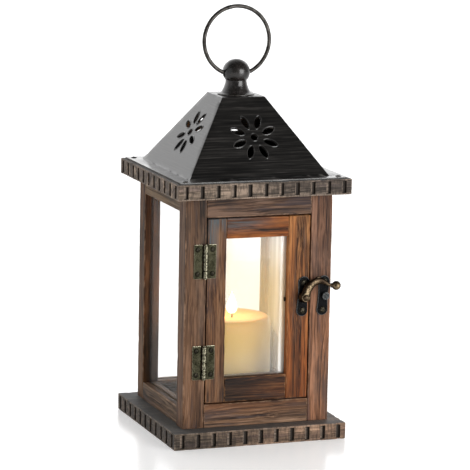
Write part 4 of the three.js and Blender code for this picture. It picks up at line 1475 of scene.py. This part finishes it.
def add_candle():
    low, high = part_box("candle")
    radius = (high.x - low.x) / 2
    wick_low, wick_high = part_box("candle_wick")
    shoulder, dish = 4.5 * MM, 2.0 * MM
    profile = [(0, low.z), (radius - 1.5 * MM, low.z)]
    profile += [(radius - 0.4 * MM, low.z + 0.5 * MM), (radius, low.z + 1.8 * MM)]
    profile += [(radius, z) for z in np.linspace(low.z + 8 * MM, high.z - shoulder, 9)]
    for angle in np.linspace(0, math.pi / 2, 7)[1:]:
        inward, up = shoulder * (1 - math.cos(angle)), shoulder * math.sin(angle)
        profile.append((radius - inward, high.z - shoulder + up))
    for share in np.linspace(1, 0, 10)[1:]:
        pool = dish * (1 - share ** 2)
        profile.append(((radius - shoulder) * share, high.z - pool))
    candle = lathe("pillar_candle", profile, 96)
    points = coordinates(candle)
    sag = ripples(points, 30 * MM, 91) * 0.35 * MM
    near_top = smooth_step(points[:, Z], high.z - 30 * MM, high.z)
    points[:, Z] -= np.abs(sag) * near_top
    round_off = 1 - np.abs(ripples(points, 45 * MM, 92))[:, None] * 0.006
    points[:, :2] *= round_off
    set_coordinates(candle, points)
    socket = drill("socket", 1.2 * MM, 12 * MM, 16)
    carve(candle, move(socket, Matrix.Translation((0, 0, wick_low.z + 5.7 * MM))))
    points = coordinates(candle)
    # The wear attribute marks the top 16 mm of the candle, which the wax paints with a warm glow.
    store(candle, "wear", smooth_step(points[:, Z], high.z - 16 * MM, high.z - 1 * MM))
    settle(candle, "frame", "candle_wax", wax_material(), "candle")

    path = bezier([(0, 0, wick_low.z), (0, 0, wick_low.z + 8 * MM), (0, 0, wick_high.z - 8 * MM),
                   (1.6 * MM, 0, wick_high.z - 0.4 * MM)], 16)
    width = np.interp(np.linspace(0, 1, len(path)), [0, 0.8, 1], [0.85, 0.8, 0.55]) * MM
    wick = tube("braided_wick", path, np.stack([width, width], -1), 14)
    settle(wick, "frame", "wick", wick_material(), "candle_wick")

    flame_low, flame_tall, flame_radius = wick_high.z - 7.5 * MM, 21 * MM, 5.6 * MM
    shares = np.linspace(0, 1, 22)
    outline = [(flame_radius * math.sin(math.pi * s ** 0.62) * (1 - 0.35 * s), flame_low + flame_tall * s) for s in shares]
    outline[0] = (0, flame_low)
    outline[-1] = (0, flame_low + flame_tall)
    flame = lathe("candle_flame", outline, 32)
    settle(flame, "frame", "wick", flame_material())
    flame.visible_shadow = False
    flame.visible_glossy = False

    data = bpy.data.lights.new("flame_glow", "POINT")
    data.energy = 0.095
    data.color = (1.0, 0.56, 0.34)
    data.shadow_soft_size = 8 * MM
    glow = placed("flame_glow", data, Matrix.Translation((0, 0, wick_high.z + 6 * MM)))
    glow.visible_glossy = False


# ---------------------------------------------------------------- the whole lantern

WOODS = {
    "frame_wood": dict(
        char=(0.018, 0.010, 0.007), brown=(0.080, 0.043, 0.024), bright=(0.19, 0.100, 0.052),
        worn=(0.33, 0.20, 0.125), soot=0.6),
    "plate_wood": dict(
        char=(0.018, 0.014, 0.011), brown=(0.060, 0.045, 0.034), bright=(0.125, 0.095, 0.072),
        worn=(0.34, 0.26, 0.20), soot=0.4, saw=0.5),
    "door_wood": dict(
        char=(0.016, 0.008, 0.005), brown=(0.090, 0.037, 0.016), bright=(0.25, 0.10, 0.035),
        worn=(0.42, 0.21, 0.095), soot=0.4, wear_amount=0.6),
}
METALS = {
    "cast_black": dict(
        dark=(0.004, 0.0035, 0.003), light=(0.024, 0.020, 0.018), rub_and_highlight=(0.10, 0.09, 0.08),
        roughness=0.23, metallic=0.0, grain=260, relief=0.26, edge=1.0),
    "ring_steel": dict(
        dark=(0.012, 0.011, 0.010), light=(0.085, 0.078, 0.072), rub_and_highlight=(0.40, 0.38, 0.36),
        roughness=0.28, metallic=0.8, grain=500, edge=0.05),
    "hinge_bronze": dict(
        dark=(0.006, 0.006, 0.003), light=(0.036, 0.034, 0.021), rub_and_highlight=(0.60, 0.56, 0.40),
        roughness=0.27, grain=420, relief=0.08),
    # The latch plates' rub colour is a painted highlight on their rims as well as wear.
    "latch_black": dict(
        dark=(0.002, 0.002, 0.0025), light=(0.007, 0.0075, 0.008), rub_and_highlight=(0.17, 0.18, 0.18),
        roughness=0.26, metallic=0.0, grain=420, relief=0.1, edge=0.2),
    "hook_brass": dict(
        dark=(0.014, 0.009, 0.006), light=(0.070, 0.048, 0.030), rub_and_highlight=(0.33, 0.25, 0.15),
        roughness=0.36, grain=420, relief=0.1),
    "screw_steel": dict(
        dark=(0.008, 0.007, 0.005), light=(0.04, 0.036, 0.026), rub_and_highlight=(0.42, 0.36, 0.26),
        roughness=0.4, grain=700),
}


def add_lantern():
    metals = {name: metal_material(name, **look) for name, look in METALS.items()}
    cast_black, screw_steel = metals["cast_black"], metals["screw_steel"]
    add_woodwork([wood_material(name, **look) for name, look in WOODS.items()])
    add_panes()
    add_roof(brushed_black_material(), cast_black)
    add_finial(cast_black, screw_steel)
    add_ring(metals["ring_steel"])
    add_hinges(metals["hinge_bronze"], screw_steel)
    add_latch(metals["latch_black"], metals["hook_brass"], screw_steel)
    add_glazing_pins(screw_steel)
    add_candle()


add_camera()
add_studio()
add_floor()
add_lantern()
